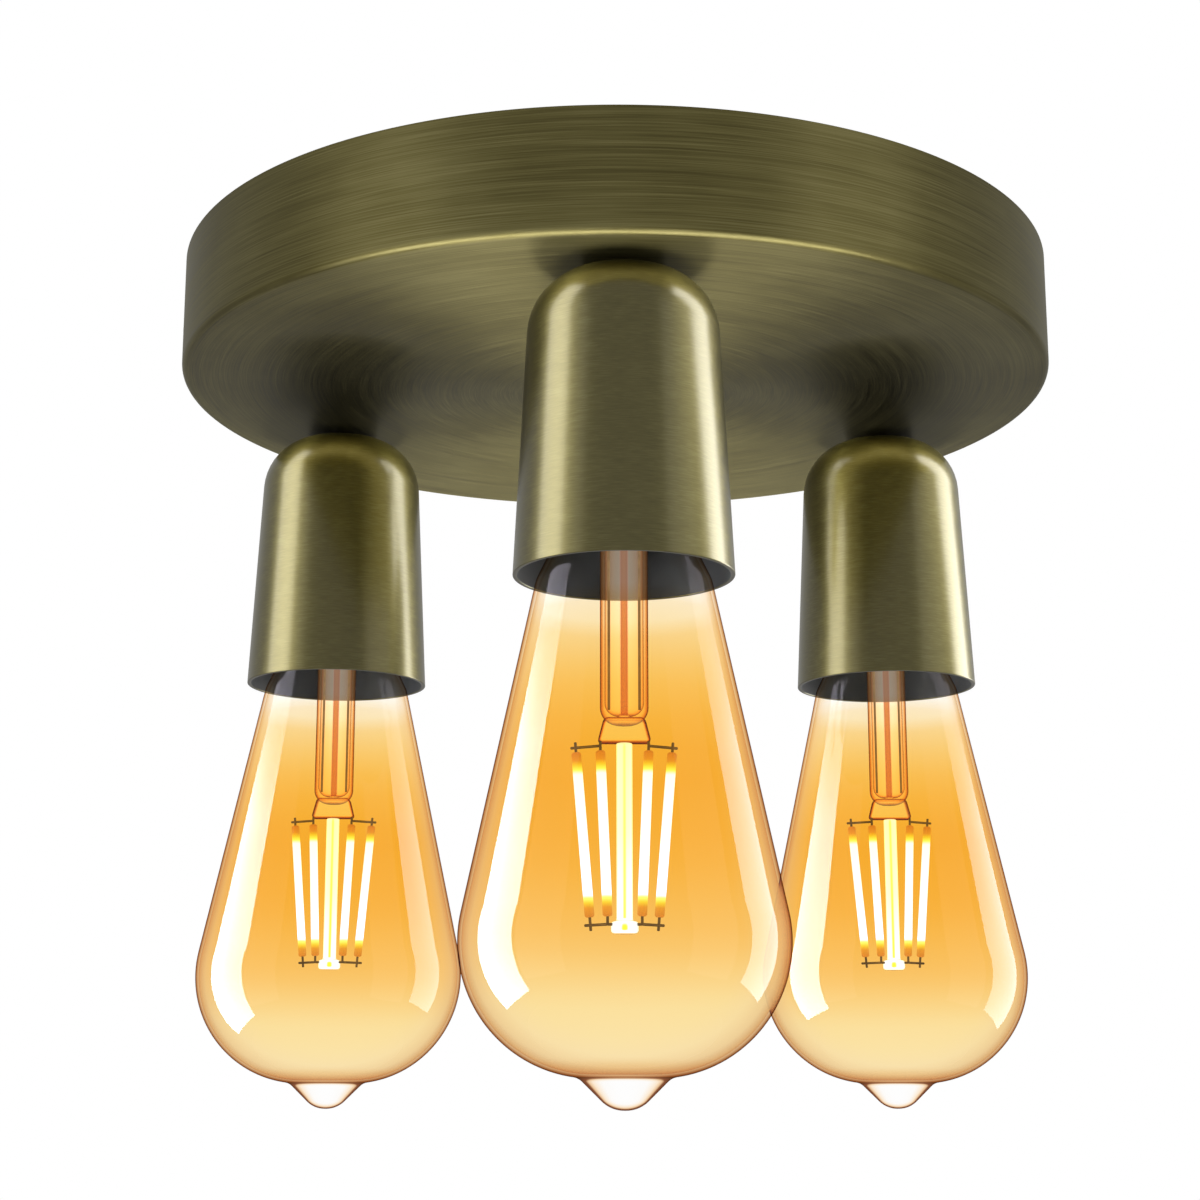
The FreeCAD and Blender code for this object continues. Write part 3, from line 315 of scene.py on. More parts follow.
# %% [markdown]
# ## The room around
# The light hangs in front of a white backdrop: the world is white for the camera, also through
# the glass. What the metal mirrors is a dim grey room, a little darker low down behind the
# fitting, so that the brass keeps its depth.

# %% World
ROOM_GREY = (0.34, 0.34, 0.33, 1.0)
DIM_BEHIND = (0.24, 0.24, 0.25, 1.0)

scene.view_settings.view_transform = "Standard"
world = bpy.data.worlds.new("studio")
scene.world = world
world.use_nodes = True
tree = world.node_tree
tree.nodes.clear()
direction = add(tree, "SeparateXYZ", {"Vector": add(tree, "TexCoord").outputs["Generated"]})
behind = remap(tree, direction.outputs["Y"], -0.1, 0.3, interpolation="SMOOTHSTEP")
low = remap(tree, direction.outputs["Z"], 0.05, -0.15, interpolation="SMOOTHSTEP")
room = mix_colour(tree, combine(tree, "MULTIPLY", behind, low), ROOM_GREY, DIM_BEHIND)
shown = mix_colour(tree, looked_at(tree), room, WHITE)
background = add(tree, "Background", {"Strength": 1.0, "Color": shown})
add(tree, "OutputWorld", {"Surface": background.outputs[0]})
print("world nodes:", len(tree.nodes))

# %% [markdown]
# ## Floor
# A plain pale floor lies a room's height below, with clouds of tone a sixth of a metre wide.
# The dim room would leave it grey, so a lift that only the camera sees keeps it pale.

# %% Floor
FLOOR_LEVEL = -2.3
FLOOR_RADIUS = 2.2
FLOOR_LIFT = 0.55
PAINT_CLOUD = 1 / 6

floor_material, tree, output = new_material("pale_floor_paint")
tone = ramp(tree, noise(tree, object_place(tree), PAINT_CLOUD, 3.0), ((0.3, "F4F3F1"), (0.7, "FAF9F8")))
lift = combine(tree, "MULTIPLY", add(tree, "LightPath").outputs["Is Camera Ray"], FLOOR_LIFT)
paint = add(tree, "BsdfPrincipled", {
    "Roughness": 0.8, "Base Color": tone, "Emission Color": tone, "Emission Strength": lift})
tree.links.new(paint.outputs[0], output.inputs["Surface"])

bm = bmesh.new()
bmesh.ops.create_circle(bm, cap_ends=True, segments=96, radius=FLOOR_RADIUS)
shift(bm, (0, 0, FLOOR_LEVEL))
floor_mesh = bpy.data.meshes.new("floor")
bm.to_mesh(floor_mesh)
bm.free()
floor = bpy.data.objects.new("floor", floor_mesh)
floor_mesh.materials.append(floor_material)
scene.collection.objects.link(floor)
floor.visible_transmission = False
print("floor:", len(floor_mesh.polygons), "face")

# %% [markdown]
# ## Lamps of the studio
# Tall lamps at the sides draw the pale bands on glass and brass, one pair for each, and a weak
# pair lights everything. Two lamps lie under the fitting and light the cover alone, with its
# brushed underside and its lower edge. The lamps aren't seen themselves. Of the pieces, none
# throws a shadow in the light for the glass, so its bands run unbroken.

# %% Lamps
COOL = (0.90, 0.85, 1.0)

cup_group = bpy.data.collections.new("lit_cups")
glass_group = bpy.data.collections.new("lit_glass")
cover_group = bpy.data.collections.new("lit_cover")
shade_group = bpy.data.collections.new("shades_cover")
clear_group = bpy.data.collections.new("shades_glass")
clear_group.objects.link(floor)


def area_light(name, place, size, radiance, lit, shades, tone):
    """Flat lamp at a place; its radiance is what a mirror would show of it.

    Where a group is given as lit, the lamp lights that group alone, and only the pieces in
    shades throw shadows in its light.
    """
    width, depth = size
    data = bpy.data.lights.new(name, "AREA")
    data.shape = "RECTANGLE"
    data.size = width
    data.size_y = depth
    data.energy = radiance * math.pi * width * depth
    data.color = tone
    lamp = bpy.data.objects.new(name, data)
    lamp.location = place
    lamp.visible_camera = False
    lamp.visible_transmission = False
    scene.collection.objects.link(lamp)
    if lit:
        lamp.light_linking.receiver_collection = lit
        lamp.light_linking.blocker_collection = shades or lit
    return lamp


def soft_box(name, azimuth, distance, width, span, radiance, lit=None, shades=None, lean=0.0,
             tone=(1, 1, 1)):
    """Upright lamp from the low to the high end of its span, turned to the fitting's axis.

    The azimuth is counted from the camera's side, clockwise seen from above.
    """
    low, high = span
    turn = math.radians(azimuth)
    place = Vector((-distance * math.sin(turn), -distance * math.cos(turn), (low + high) / 2))
    lamp = area_light(name, place, (width, high - low), radiance, lit, shades, tone)
    upright = Vector((-place.x, -place.y, 0)).to_track_quat("-Z", "Y").to_matrix()
    lamp.rotation_euler = (upright @ Matrix.Rotation(math.radians(lean), 3, "Z")).to_euler()


def low_light(name, place, size, radiance):
    """Lamp under the fitting that looks up at it and lights the cover."""
    lamp = area_light(name, place, size, radiance, cover_group, shade_group, (1, 1, 1))
    lamp.rotation_euler = (-Vector(place)).to_track_quat("-Z", "Y").to_euler()


# Name, azimuth in degrees, distance, width and span in metres, radiance and what it lights.
soft_box("glass_left", 95, 0.75, 0.50, (-0.68, 0.60), 13.5, glass_group, clear_group, tone=COOL)
soft_box("glass_right", -103, 0.75, 0.44, (-0.52, 0.60), 4.4, glass_group, clear_group, tone=COOL)
soft_box("cups_left", 79, 0.80, 0.46, (-0.70, 1.10), 2.8, cup_group)
soft_box("cups_right", -104, 0.80, 0.34, (-0.70, 1.10), 4.6, cup_group, lean=32)
soft_box("room_left", 60, 1.6, 1.0, (-1.0, 1.0), 0.35)
soft_box("room_right", -60, 1.6, 1.0, (-1.0, 1.0), 0.35)
low_light("rim_light", (0, -0.35, -0.95), (2.2, 0.35), 8.0)
low_light("plate_light", (0, 0.75, -0.90), (0.55, 0.50), 1.8)
print("lamps:", len(bpy.data.lights))

# %% [markdown]
# ## Antique brass
# Brass sheet, darkened to an olive brown, brushed while it spins on the lathe and lacquered.
# The brush leaves rings of fine scratches, so the pattern is laid along the turning direction:
# one coordinate runs around the axis and is stretched, the other runs across the rings. The
# scratches also spread the gloss across the rings, which is what anisotropy does. A real brush
# line is 0.05 mm wide; it is drawn 0.25 mm wide so that it shows from half a metre.

# %% Brass material
BRUSH_LINE = 0.25 * MM
BRUSH_BAND = 2.6 * MM
BAND_TURNS = 0.45
BAND_SHARE = 0.28
BRUSH_DEPTH = 0.02 * MM
PATINA_CLOUD = 1 / 28
PATINA_SHARE = 0.30


def ring_noise(tree, around, across, turns, line, detail):
    """Noise stretched into marks along the rings, as wide across them as the line."""
    along = add(tree, "VectorMath", {"operation": "SCALE", "Scale": turns, 0: around}).outputs[0]
    lift = add(tree, "CombineXYZ", {"Z": combine(tree, "MULTIPLY", across, 1 / line)}).outputs[0]
    spot = on_vector(tree, "ADD", along, lift)
    marks = add(tree, "TexNoise", {"Scale": 1.0, "Detail": detail, "Roughness": 0.6, "Vector": spot})
    return marks.outputs["Fac"]


def antique_brass(name, centre, mark_turns, tones, roughness, patina, coat):
    """Lacquered brass brushed about a vertical axis through the centre, in tones dark to pale."""
    material, tree, output = new_material(name)
    local = add(tree, "Mapping", {"Location": -Vector(centre), "Vector": object_place(tree)}).outputs[0]
    flat = on_vector(tree, "MULTIPLY", local, (1, 1, 0))
    around = on_vector(tree, "NORMALIZE", flat)
    sideways = on_vector(tree, "CROSS_PRODUCT", (0, 0, 1), around)
    radius = add(tree, "VectorMath", {"operation": "LENGTH", 0: flat}).outputs["Value"]
    height = add(tree, "SeparateXYZ", {"Vector": local}).outputs["Z"]
    across = combine(tree, "SUBTRACT", radius, height)

    fine = ring_noise(tree, around, across, mark_turns, BRUSH_LINE, 2.5)
    broad = ring_noise(tree, around, across, mark_turns * BAND_TURNS, BRUSH_BAND, 2.0)
    streaks = mix_value(tree, BAND_SHARE, fine, broad)
    clouds = noise(tree, local, PATINA_CLOUD, 3.0)
    shade = mix_value(tree, PATINA_SHARE * patina, streaks, clouds)
    metal = add(tree, "BsdfPrincipled", {
        "Metallic": 1.0, "Anisotropic": 0.7, "Anisotropic Rotation": 0.25,
        "Coat Weight": coat, "Coat Roughness": 0.22, "Coat IOR": 1.7,
        "Base Color": ramp(tree, shade, tuple(zip((0.36, 0.5, 0.64), tones))),
        "Roughness": remap(tree, streaks, 0.3, 0.7, roughness - 0.05, roughness + 0.07),
        "Normal": bumped(tree, fine, 0.35, BRUSH_DEPTH),
        "Tangent": sideways})
    tree.links.new(metal.outputs[0], output.inputs["Surface"])
    return material


COVER_TONES = ("665E38", "7D7548", "928A5C")
CUP_TONES = ("6A6228", "746B30", "80783E")
cover_brass = antique_brass("antique_brass_cover", (0, 0, 0), 3.4, COVER_TONES, 0.40, patina=1.0, coat=0.05)
cup_brass = {lamp: antique_brass(f"antique_brass_cup_{lamp}", axes[lamp], 7.0, CUP_TONES, 0.38, patina=0.4,
                                 coat=1.0) for lamp in LAMPS}
print("brass materials:", 1 + len(cup_brass))

# %% [markdown]
# ## Lacquer and mouldings
# The inside of a cup is never brushed: it is dipped in a dark lacquer that hardly reflects.
# Mouldings and wire sleeves have the same slow changes of tone over a fine grain. The holders
# darken the cover close above them, but leave no image in the glass of the next bulb.

# %% Dull finishes
NEAR = 70 * MM
GRAIN = 0.6 * MM
GRAIN_DEPTH = 0.02 * MM


def near_mirrors(tree, surface):
    """The surface, left out of mirror images from farther off than NEAR."""
    path = add(tree, "LightPath")
    far = combine(tree, "GREATER_THAN", path.outputs["Ray Length"], NEAR)
    passed = combine(tree, "MULTIPLY", far, path.outputs["Is Glossy Ray"])
    clear = add(tree, "BsdfTransparent").outputs[0]
    return add(tree, "MixShader", {0: passed, 1: surface, 2: clear}).outputs[0]


def dull_finish(name, dark, light, roughness, cloud_mm=4, near_only=False):
    """Lacquer or moulding with slow changes of tone and a fine grain."""
    material, tree, output = new_material(name)
    place = object_place(tree)
    clouds = noise(tree, place, cloud_mm * MM, 4.0)
    surface = add(tree, "BsdfPrincipled", {
        "Base Color": ramp(tree, clouds, ((0.35, dark), (0.7, light))),
        "Roughness": remap(tree, clouds, 0.0, 1.0, roughness - 0.06, roughness + 0.08),
        "Normal": bumped(tree, noise(tree, place, GRAIN, 2.0), 0.2, GRAIN_DEPTH)}).outputs[0]
    if near_only:
        surface = near_mirrors(tree, surface)
    tree.links.new(surface, output.inputs["Surface"])
    return material


cup_inside = dull_finish("dark_lacquer_inside_cup", "1B2025", "2D3339", 0.45, 9)
holder_black = dull_finish("moulded_phenolic_black", "0A0A0B", "151516", 0.38, 6, near_only=True)
rubber_black = dull_finish("moulded_rubber_black", "101010", "1C1C1B", 0.62)
vitrite = dull_finish("fused_black_glass", "07060A", "120F16", 0.16, 5)
nylon = dull_finish("moulded_nylon_white", "D9D5C8", "E6E2D6", 0.42)
live_brown = dull_finish("pvc_sleeve_brown", "4A2410", "5C3018", 0.40)
neutral_blue = dull_finish("pvc_sleeve_blue", "1A4480", "24559A", 0.40)
earth_green = dull_finish("pvc_sleeve_green_yellow", "5C8A1E", "6E9C28", 0.40)
board_green = dull_finish("solder_mask_green", "0E3A20", "17502E", 0.30)
print("materials so far:", len(bpy.data.materials))

# %% [markdown]
# ## Small metals
# Nuts, screws, shells and wires are plated, drawn or turned. Up close such metal is never one
# tone, so its colour and gloss drift slowly over a few millimetres.

# %% Metals


def plain_metal(name, dark, light, roughness, cloud_mm=3):
    """Plated or drawn metal with a slight mottle."""
    material, tree, output = new_material(name)
    clouds = noise(tree, object_place(tree), cloud_mm * MM, 3.0)
    metal = add(tree, "BsdfPrincipled", {
        "Metallic": 1.0,
        "Base Color": ramp(tree, clouds, ((0.3, dark), (0.7, light))),
        "Roughness": remap(tree, clouds, 0.0, 1.0, roughness - 0.05, roughness + 0.1)})
    tree.links.new(metal.outputs[0], output.inputs["Surface"])
    return material


lead_wire = plain_metal("drawn_nickel_wire", "8A7350", "B89A6A", 0.3)
nickel = plain_metal("nickel_plate", "A8A49A", "C9C5BA", 0.28)
zinc = plain_metal("zinc_plate", "A9ABAC", "C6C8C8", 0.34, 5)
turned_brass = plain_metal("turned_brass", "A98545", "C9A660", 0.32)
solder = plain_metal("soft_solder", "8E9093", "A9ABAE", 0.5)
print("materials so far:", len(bpy.data.materials))

# %% [markdown]
# ## Ceiling cover
# The cover is one disc of sheet, spun over a former until its edge stands up as a wall. Its
# outline is a drawing of a shallow drum: outer skin with a small rounding at the lower edge,
# then the inner skin a sheet's thickness inside it.

# %% Cover
COVER_WALL = 1.0 * MM
COVER_EDGE = 1.6 * MM
COVER_LIP = 0.25 * MM
cover_radius = max(cover_high.x, cover_high.y)
inner_radius = cover_radius - COVER_WALL
plate_top = PLATE + COVER_WALL
cover_outline = round_corners((
    (0, PLATE),
    (cover_radius * 0.5, PLATE),
    (cover_radius, PLATE, COVER_EDGE),
    (cover_radius, cover_high.z, COVER_LIP),
    (inner_radius, cover_high.z, COVER_LIP),
    (inner_radius, plate_top, COVER_EDGE - COVER_WALL),
    (cover_radius * 0.5, plate_top),
    (0, plate_top),
), steps=8)
cover = finish_piece("cover_shell", lathe(bmesh.new(), cover_outline, 288, closed=False), [cover_brass],
                     "fitting", "ceiling_cover")
cover_group.objects.link(cover)
shade_group.objects.link(cover)

# %% [markdown]
# ## Cups
# Each cup is drawn deep from sheet: a flat top, a round shoulder, and a side that widens a
# little to the mouth. The outside carries the brushed brass and the inside the dark lacquer.

# %% Cups
CUP_WALL = 0.9 * MM
CUP_SHOULDER = 13.6 * MM
CUP_LIP = 0.22 * MM
LIP_HEIGHT = 0.3 * MM
CUP_TAPER = math.radians(2.8)
NIPPLE_HOLE = 5.2 * MM
cup_radius = (cup_high.x - cup_low.x) / 2
cup_length = PLATE - MOUTH
top_corner = cup_radius - cup_length * math.tan(CUP_TAPER)
wall_across = CUP_WALL / math.cos(CUP_TAPER)
inner_corner = top_corner + CUP_WALL * math.tan(CUP_TAPER) - wall_across
cup_outline = round_corners((
    (NIPPLE_HOLE, PLATE),
    (top_corner, PLATE, CUP_SHOULDER),
    (cup_radius, MOUTH, CUP_LIP),
    (cup_radius - wall_across, MOUTH, CUP_LIP),
    (inner_corner, PLATE - CUP_WALL, CUP_SHOULDER - CUP_WALL),
    (NIPPLE_HOLE, PLATE - CUP_WALL),
), steps=12)


def inside_cup(face):
    """True for a face of the inner skin, whose normal looks at the axis or, at the top, down."""
    middle = face.calc_center_median()
    outward = Vector((middle.x, middle.y, 0))
    if middle.z < MOUTH + LIP_HEIGHT:
        return outward.length < cup_radius - wall_across
    lift = 1 if middle.z > PLATE - CUP_SHOULDER else 0
    return face.normal.dot(outward.normalized() + Vector((0, 0, lift))) < 0


for lamp in LAMPS:
    bm = lathe(bmesh.new(), cup_outline, 160)
    for face in bm.faces:
        face.material_index = 1 if inside_cup(face) else 0
    shift(bm, axes[lamp])
    piece = finish_piece(f"cup_shell_{lamp}", bm, [cup_brass[lamp], cup_inside], "fitting", f"cup_{lamp}",
                         mirrored=False)
    cup_group.objects.link(piece)
    shade_group.objects.link(piece)

# %% [markdown]
# ## Amber glass
# The envelope is soda-lime glass, blown in a mould and tinted amber by a thin metal-oxide film.
# The tint is deepest over the middle of the bulb and pales towards the bottom and the neck.
# Seen edge on, the eye looks along the wall, so the outline darkens to brown: Layer Weight
# gives that. The gloss fades towards the outline, and its fall up into the cup is painted shade
# of the cup, which throws no real shadow in the light for the glass. An outline seen through
# another bulb is nearly lost. The small glass parts inside carry a painted glow for the
# filaments' light they catch, the rod most of all.

# %% Glass material
ABOVE_MOUTH = 8 * MM
SKINS_OF_A_BULB = 4
GLASS_WAVE = 16 * MM
WAVE_DEPTH = 0.4 * MM
PALE_FILM = "FFEED4"
# Gloss by height from the tip up: its fall towards the mouth and into the cup is painted shade of the cup on
# the lamps' reflections.
GLOSS_WITH_PAINTED_CUP_SHADE = ((0.0, grey(1.0)), (0.42, grey(1.0)), (0.60, grey(0.85)), (0.80, grey(0.20)),
                  (1.0, grey(0.10)))


def level_on_bulb(tree):
    """0 at the tip of a bulb, rising to 1 a little above the mouth of its cup."""
    height = add(tree, "SeparateXYZ", {"Vector": object_place(tree)}).outputs["Z"]
    return remap(tree, height, TIP, MOUTH + ABOVE_MOUTH)


def lost_outline(tree, facing):
    """Share of an outline that is lost behind the two walls, four skins, of another bulb."""
    crossed = add(tree, "LightPath").outputs["Transmission Depth"]
    second = combine(tree, "GREATER_THAN", crossed, SKINS_OF_A_BULB - 0.5)
    return combine(tree, "MULTIPLY", second, remap(tree, facing, 0.25, 0.5, high=0.85))


def outer_gloss(tree, facing, level, lost, gloss):
    """Weight of the glossy coat: outer skin only, less at the outline, and less inside the cup by a painted
    shade of the cup.
    """
    shine = ramp(tree, facing, ((0.0, grey(gloss)), (0.66, grey(gloss)), (0.90, grey(0.0))))
    shine = combine(tree, "MULTIPLY", shine, ramp(tree, level, GLOSS_WITH_PAINTED_CUP_SHADE))
    backwards = add(tree, "NewGeometry").outputs["Backfacing"]
    shine = combine(tree, "MULTIPLY", shine, combine(tree, "SUBTRACT", 1.0, backwards))
    return combine(tree, "MULTIPLY", shine, combine(tree, "SUBTRACT", 1.0, lost))


def thin_glass(name, tints, edges, gloss, glows=None, glow=0.0):
    """Clear glass, tinted by height and by how far it is seen edge on; a glow if asked.

    A blown wall is too thin to bend what is seen through it, so the body lets light pass straight
    on, and the gloss of glass with its own index of 1.5 lies on it as a coat.
    """
    material, tree, output = new_material(name)
    level = level_on_bulb(tree)
    facing = add(tree, "LayerWeight", {"Blend": 0.5}).outputs["Facing"]
    lost = lost_outline(tree, facing)
    tint = ramp(tree, level, tints)
    film = mix_colour(tree, remap(tree, facing, 0.3, 0.7, high=0.45), tint, linear(PALE_FILM))
    edged = mix_colour(tree, 1.0, film, ramp(tree, facing, edges), "MULTIPLY")
    waves = noise(tree, object_place(tree), GLASS_WAVE, 1.0)
    glass = add(tree, "BsdfPrincipled", {
        "Roughness": 0.0, "IOR": 1.0, "Transmission Weight": 1.0, "Coat Roughness": 0.0, "Coat IOR": 1.5,
        "Base Color": mix_colour(tree, lost, edged, WHITE),
        "Coat Weight": outer_gloss(tree, facing, level, lost, gloss),
        "Coat Normal": bumped(tree, waves, 0.10, WAVE_DEPTH)})
    if glows:
        tree.links.new(ramp(tree, facing, glows), glass.inputs["Emission Color"])
        glass.inputs["Emission Strength"].default_value = glow
    clear = add(tree, "BsdfTransparent", {"Color": tint}).outputs[0]
    shadow = add(tree, "LightPath").outputs["Is Shadow Ray"]
    mix = add(tree, "MixShader", {0: shadow, 1: glass.outputs[0], 2: clear})
    tree.links.new(mix.outputs[0], output.inputs["Surface"])
    return material


print("tints run over", round((MOUTH + ABOVE_MOUTH - TIP) / MM, 1), "mm")

# %% [markdown]
# ## Glasses of the bulb
# Tints run from the tip of the bulb up to its neck. Edges run from glass seen face on to glass
# seen edge on. The drawn tip is clear, and the stem, the foot, the rod and the exhaust tube are
# lead glass, each with a painted glow for the light it catches.

# %% Glasses
AMBER = ((0.0, "E0A868"), (0.055, "E9B878"), (0.068, "F8DDAA"), (0.085, "FFF3D2"), (0.18, "FFF0C8"),
         (0.285, "FEE0A0"), (0.44, "FDD576"), (0.59, "FCD163"), (0.70, "FDD985"), (0.80, "FDE6B2"),
         (0.85, "FDECC8"), (0.88, "FFFCF6"))
BROWN_EDGE = ((0.0, "FFFFFF"), (0.45, "FFFFFF"), (0.62, "FBF3E6"), (0.75, "F2DFC6"), (0.81, "DDB78E"),
              (0.88, "A06A40"), (0.94, "5C3018"), (1.0, "2A1208"))
SOFT_EDGE = ((0.0, "FFFFFF"), (0.7, "FFFFFF"), (1.0, "EBD3B4"))
TIP_EDGE = ((0.0, "FFFFFF"), (0.42, "FFFFFF"), (0.55, "FFF0DC"), (0.64, "EECBA2"), (0.71, "8A5230"),
            (1.0, "2A1208"))
STEM_EDGE = ((0.0, "FFFFFF"), (0.4, "FFF8EC"), (0.6, "E8B078"), (0.77, "8A4214"), (1.0, "2A0E04"))
# The glows are painted light: the stem, foot, exhaust tube and rod emit it in place of the filaments' light
# that they catch.
STEM_GLOW = ((0.0, "FFF4E4"), (0.5, "F0B070"), (1.0, "401004"))
FOOT_EDGE = ((0.0, "FFFFFF"), (0.10, "FFFAF0"), (0.22, "F0B060"), (0.40, "8A3C12"), (1.0, "2A0C04"))
FOOT_GLOW = ((0.0, (0.06, 0.28, 0.40, 1)), (0.10, (0.10, 0.26, 0.30, 1)), (0.25, (0.20, 0.08, 0.01, 1)),
             (0.50, (0.02, 0.01, 0.0, 1)))
EXHAUST_EDGE = ((0.0, "FFFFFF"), (0.4, "E8A060"), (1.0, "8A3A10"))
EXHAUST_GLOW = ((0.0, "E08A20"), (0.5, "C05A10"), (1.0, "501804"))
ROD_EDGE = ((0.0, "A88850"), (0.6, "C0B088"), (1.0, "6A4418"))
ROD_GLOW = ((0.0, (0.28, 0.30, 0.03, 1)), (0.012, (0.28, 0.32, 0.05, 1)), (0.04, (0.26, 0.40, 0.90, 1)),
            (0.45, (0.26, 0.40, 0.95, 1)), (0.62, (0.20, 0.28, 0.40, 1)), (0.72, (0.26, 0.38, 0.70, 1)),
            (0.86, (0.10, 0.09, 0.04, 1)), (1.0, (0.05, 0.03, 0.01, 1)))


def all_over(colour):
    """Stops of a tint that is the same from tip to neck."""
    return (0.0, colour), (1.0, colour)


amber_glass = thin_glass("blown_soda_lime_glass_amber", AMBER, BROWN_EDGE, 1.0)
amber_inside = thin_glass("blown_soda_lime_glass_inner_skin", AMBER, SOFT_EDGE, 0.0)
tip_glass = thin_glass("drawn_soda_lime_glass_tip", all_over("FFFFFF"), TIP_EDGE, 0.3)
stem_glass = thin_glass("drawn_lead_glass_clear", ((0.0, "FFFAF0"), (1.0, "FFF8F0")), STEM_EDGE, 0.6,
                        STEM_GLOW, 0.07)
pressed_glass = thin_glass("pressed_lead_glass_foot", all_over("FFF0D0"), FOOT_EDGE, 0.6, FOOT_GLOW, 0.5)
exhaust_glass = thin_glass("drawn_exhaust_tube_amber", ((0.0, "C89048"), (1.0, "BC7636")), EXHAUST_EDGE, 0.5,
                           EXHAUST_GLOW, 0.08)
rod_glass = thin_glass("drawn_glass_rod_lit", all_over("FFF6E0"), ROD_EDGE, 1.0, ROD_GLOW, 3.4)
print("materials so far:", len(bpy.data.materials))

# %% [markdown]
# ## Glass envelopes
# The outline is that of the mould: a straight neck inside the cup, a shoulder, a straight flank
# and a round belly. The outer skin ends in the pip where the glass was drawn off; the inner
# skin runs the same way, a wall's thickness inside. Cups, envelopes and what is in them leave
# no image in the glass of the next bulb, which keeps the pale bands there clean.

# %% Envelopes
GLASS_WALL = 0.8 * MM
BELLY_DROP = 71.5 * MM
BELLY_RADIUS = 25.8 * MM
SHOULDER_DROP = 1.0 * MM
SHOULDER_ROUND = 7 * MM
FLANK_ANGLE = math.radians(12.1)
NECK_RADIUS = 11.6 * MM
NECK_LENGTH = 15.5 * MM
NECK_ROUND = 4 * MM
TIP_BASE = 8.8 * MM
TIP_FILLET = 3.0 * MM
TIP_START = 1.1 * MM
TIP_STEP = 0.2 * MM
TIP_CROWN = 2.7 * MM
TIP_ROUND = 6.2 * MM
BELLY = MOUTH - BELLY_DROP
belly_width = (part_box("bulb_glass_front")[1][0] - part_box("bulb_glass_front")[0][0]) / 2


def glass_skin(inset):
    """Points from the neck down to the belly's foot, inset for the inner skin."""
    radius = BELLY_RADIUS - inset
    ring = belly_width - BELLY_RADIUS
    flank = ring + radius / math.cos(FLANK_ANGLE)
    shoulder = MOUTH - SHOULDER_DROP - inset / 2
    opening = NECK_TOP - NECK_LENGTH - inset / 2
    upper = round_corners((
        (NECK_RADIUS - inset, NECK_TOP),
        (NECK_RADIUS - inset, opening, NECK_ROUND + inset),
        (flank - (shoulder - BELLY) * math.tan(FLANK_ANGLE), shoulder, SHOULDER_ROUND - inset),
        (ring + radius * math.cos(FLANK_ANGLE), BELLY + radius * math.sin(FLANK_ANGLE)),
    ), steps=10, closed=False)[:-1]
    lowest = -90 if inset else -math.degrees(math.acos((TIP_BASE + TIP_START - ring) / radius))
    return upper + arc_points((ring, BELLY), radius, math.degrees(FLANK_ANGLE), lowest, 44)


def drawn_tip(start):
    """The pip at the foot, where the glass was drawn off and melted round."""
    return round_corners((
        tuple(start),
        (TIP_BASE, start.y - TIP_STEP, TIP_FILLET),
        (TIP_CROWN, TIP, TIP_ROUND),
        (0, TIP),
    ), steps=12, closed=False)[1:]


def inside_bulb(face):
    """True for a face of the inner skin, whose normal looks into the hollow of the bulb."""
    middle = face.calc_center_median()
    lift = -1 if middle.z < BELLY else 1 if middle.z > MOUTH - ABOVE_MOUTH else 0
    outwards = Vector((middle.x, middle.y, 0)).normalized() + Vector((0, 0, lift))
    return face.normal.dot(outwards) < 0


outer_skin = glass_skin(0)
inner_skin = glass_skin(GLASS_WALL)
tip_top = outer_skin[-1].y
envelope = outer_skin + drawn_tip(outer_skin[-1]) + [Vector((0, inner_skin[-1].y))] + inner_skin[::-1]
for lamp in LAMPS:
    bm = lathe(bmesh.new(), envelope, 128)
    for face in bm.faces:
        if face.calc_center_median().z < tip_top:
            face.material_index = 2
        elif inside_bulb(face):
            face.material_index = 1
    shift(bm, axes[lamp])
    piece = finish_piece(f"glass_{lamp}", bm, [amber_glass, amber_inside, tip_glass], f"bulb_{lamp}",
                         f"bulb_glass_{lamp}", sharp=60, mirrored=False)
    glass_group.objects.link(piece)

# %% [markdown]
# ## Filaments
# An LED filament is a strip of tiny chips under a sleeve of yellow silicone. Lit, its middle is
# white hot to the eye, and its ends, where no chips sit, stay orange. The light is written as
# bluer than white, so that it reads white once it has come through the amber wall of the bulb.
# It looks brighter than the light it gives, as a lit filament does in a photograph.

# %% Filament material
FILAMENT_DROP = 1.6 * MM
FILAMENT_RISE = 32.0 * MM
LIGHT_GIVEN = 1.0
LIGHT_SEEN = 6.5
SLEEVE_END = ((0.0, (0.085, 0.040, 0.006, 1)), (0.055, (0.105, 0.060, 0.008, 1)),
              (0.085, (0.130, 0.140, 0.014, 1)), (0.115, (0.17, 0.24, 0.10, 1)),
              (0.14, (0.22, 0.31, 1.0, 1)))
other_end = tuple((1 - position, colour) for position, colour in reversed(SLEEVE_END))
filament_top = STEM_FOOT - FILAMENT_DROP
filament_foot = filament_top - FILAMENT_RISE

filament_coating, tree, output = new_material("silicone_phosphor_lit")
height = add(tree, "SeparateXYZ", {"Vector": object_place(tree)}).outputs["Z"]
colour = ramp(tree, remap(tree, height, filament_foot, filament_top), SLEEVE_END + other_end)
strength = remap(tree, looked_at(tree), 0.0, 1.0, LIGHT_GIVEN, LIGHT_SEEN)
coating = add(tree, "BsdfPrincipled", {
    "Roughness": 0.5, "Base Color": linear("7A4810"),
    "Emission Color": colour, "Emission Strength": strength})
tree.links.new(coating.outputs[0], output.inputs["Surface"])
print("filament from", round(filament_foot, 4), "to", round(filament_top, 4))

# %% [markdown]
# ## Filament bars
# Two filaments stand on each side of the rod, an outer and an inner one. They lean in towards
# the foot, and the inner ones stand a little nearer the camera than the outer ones.

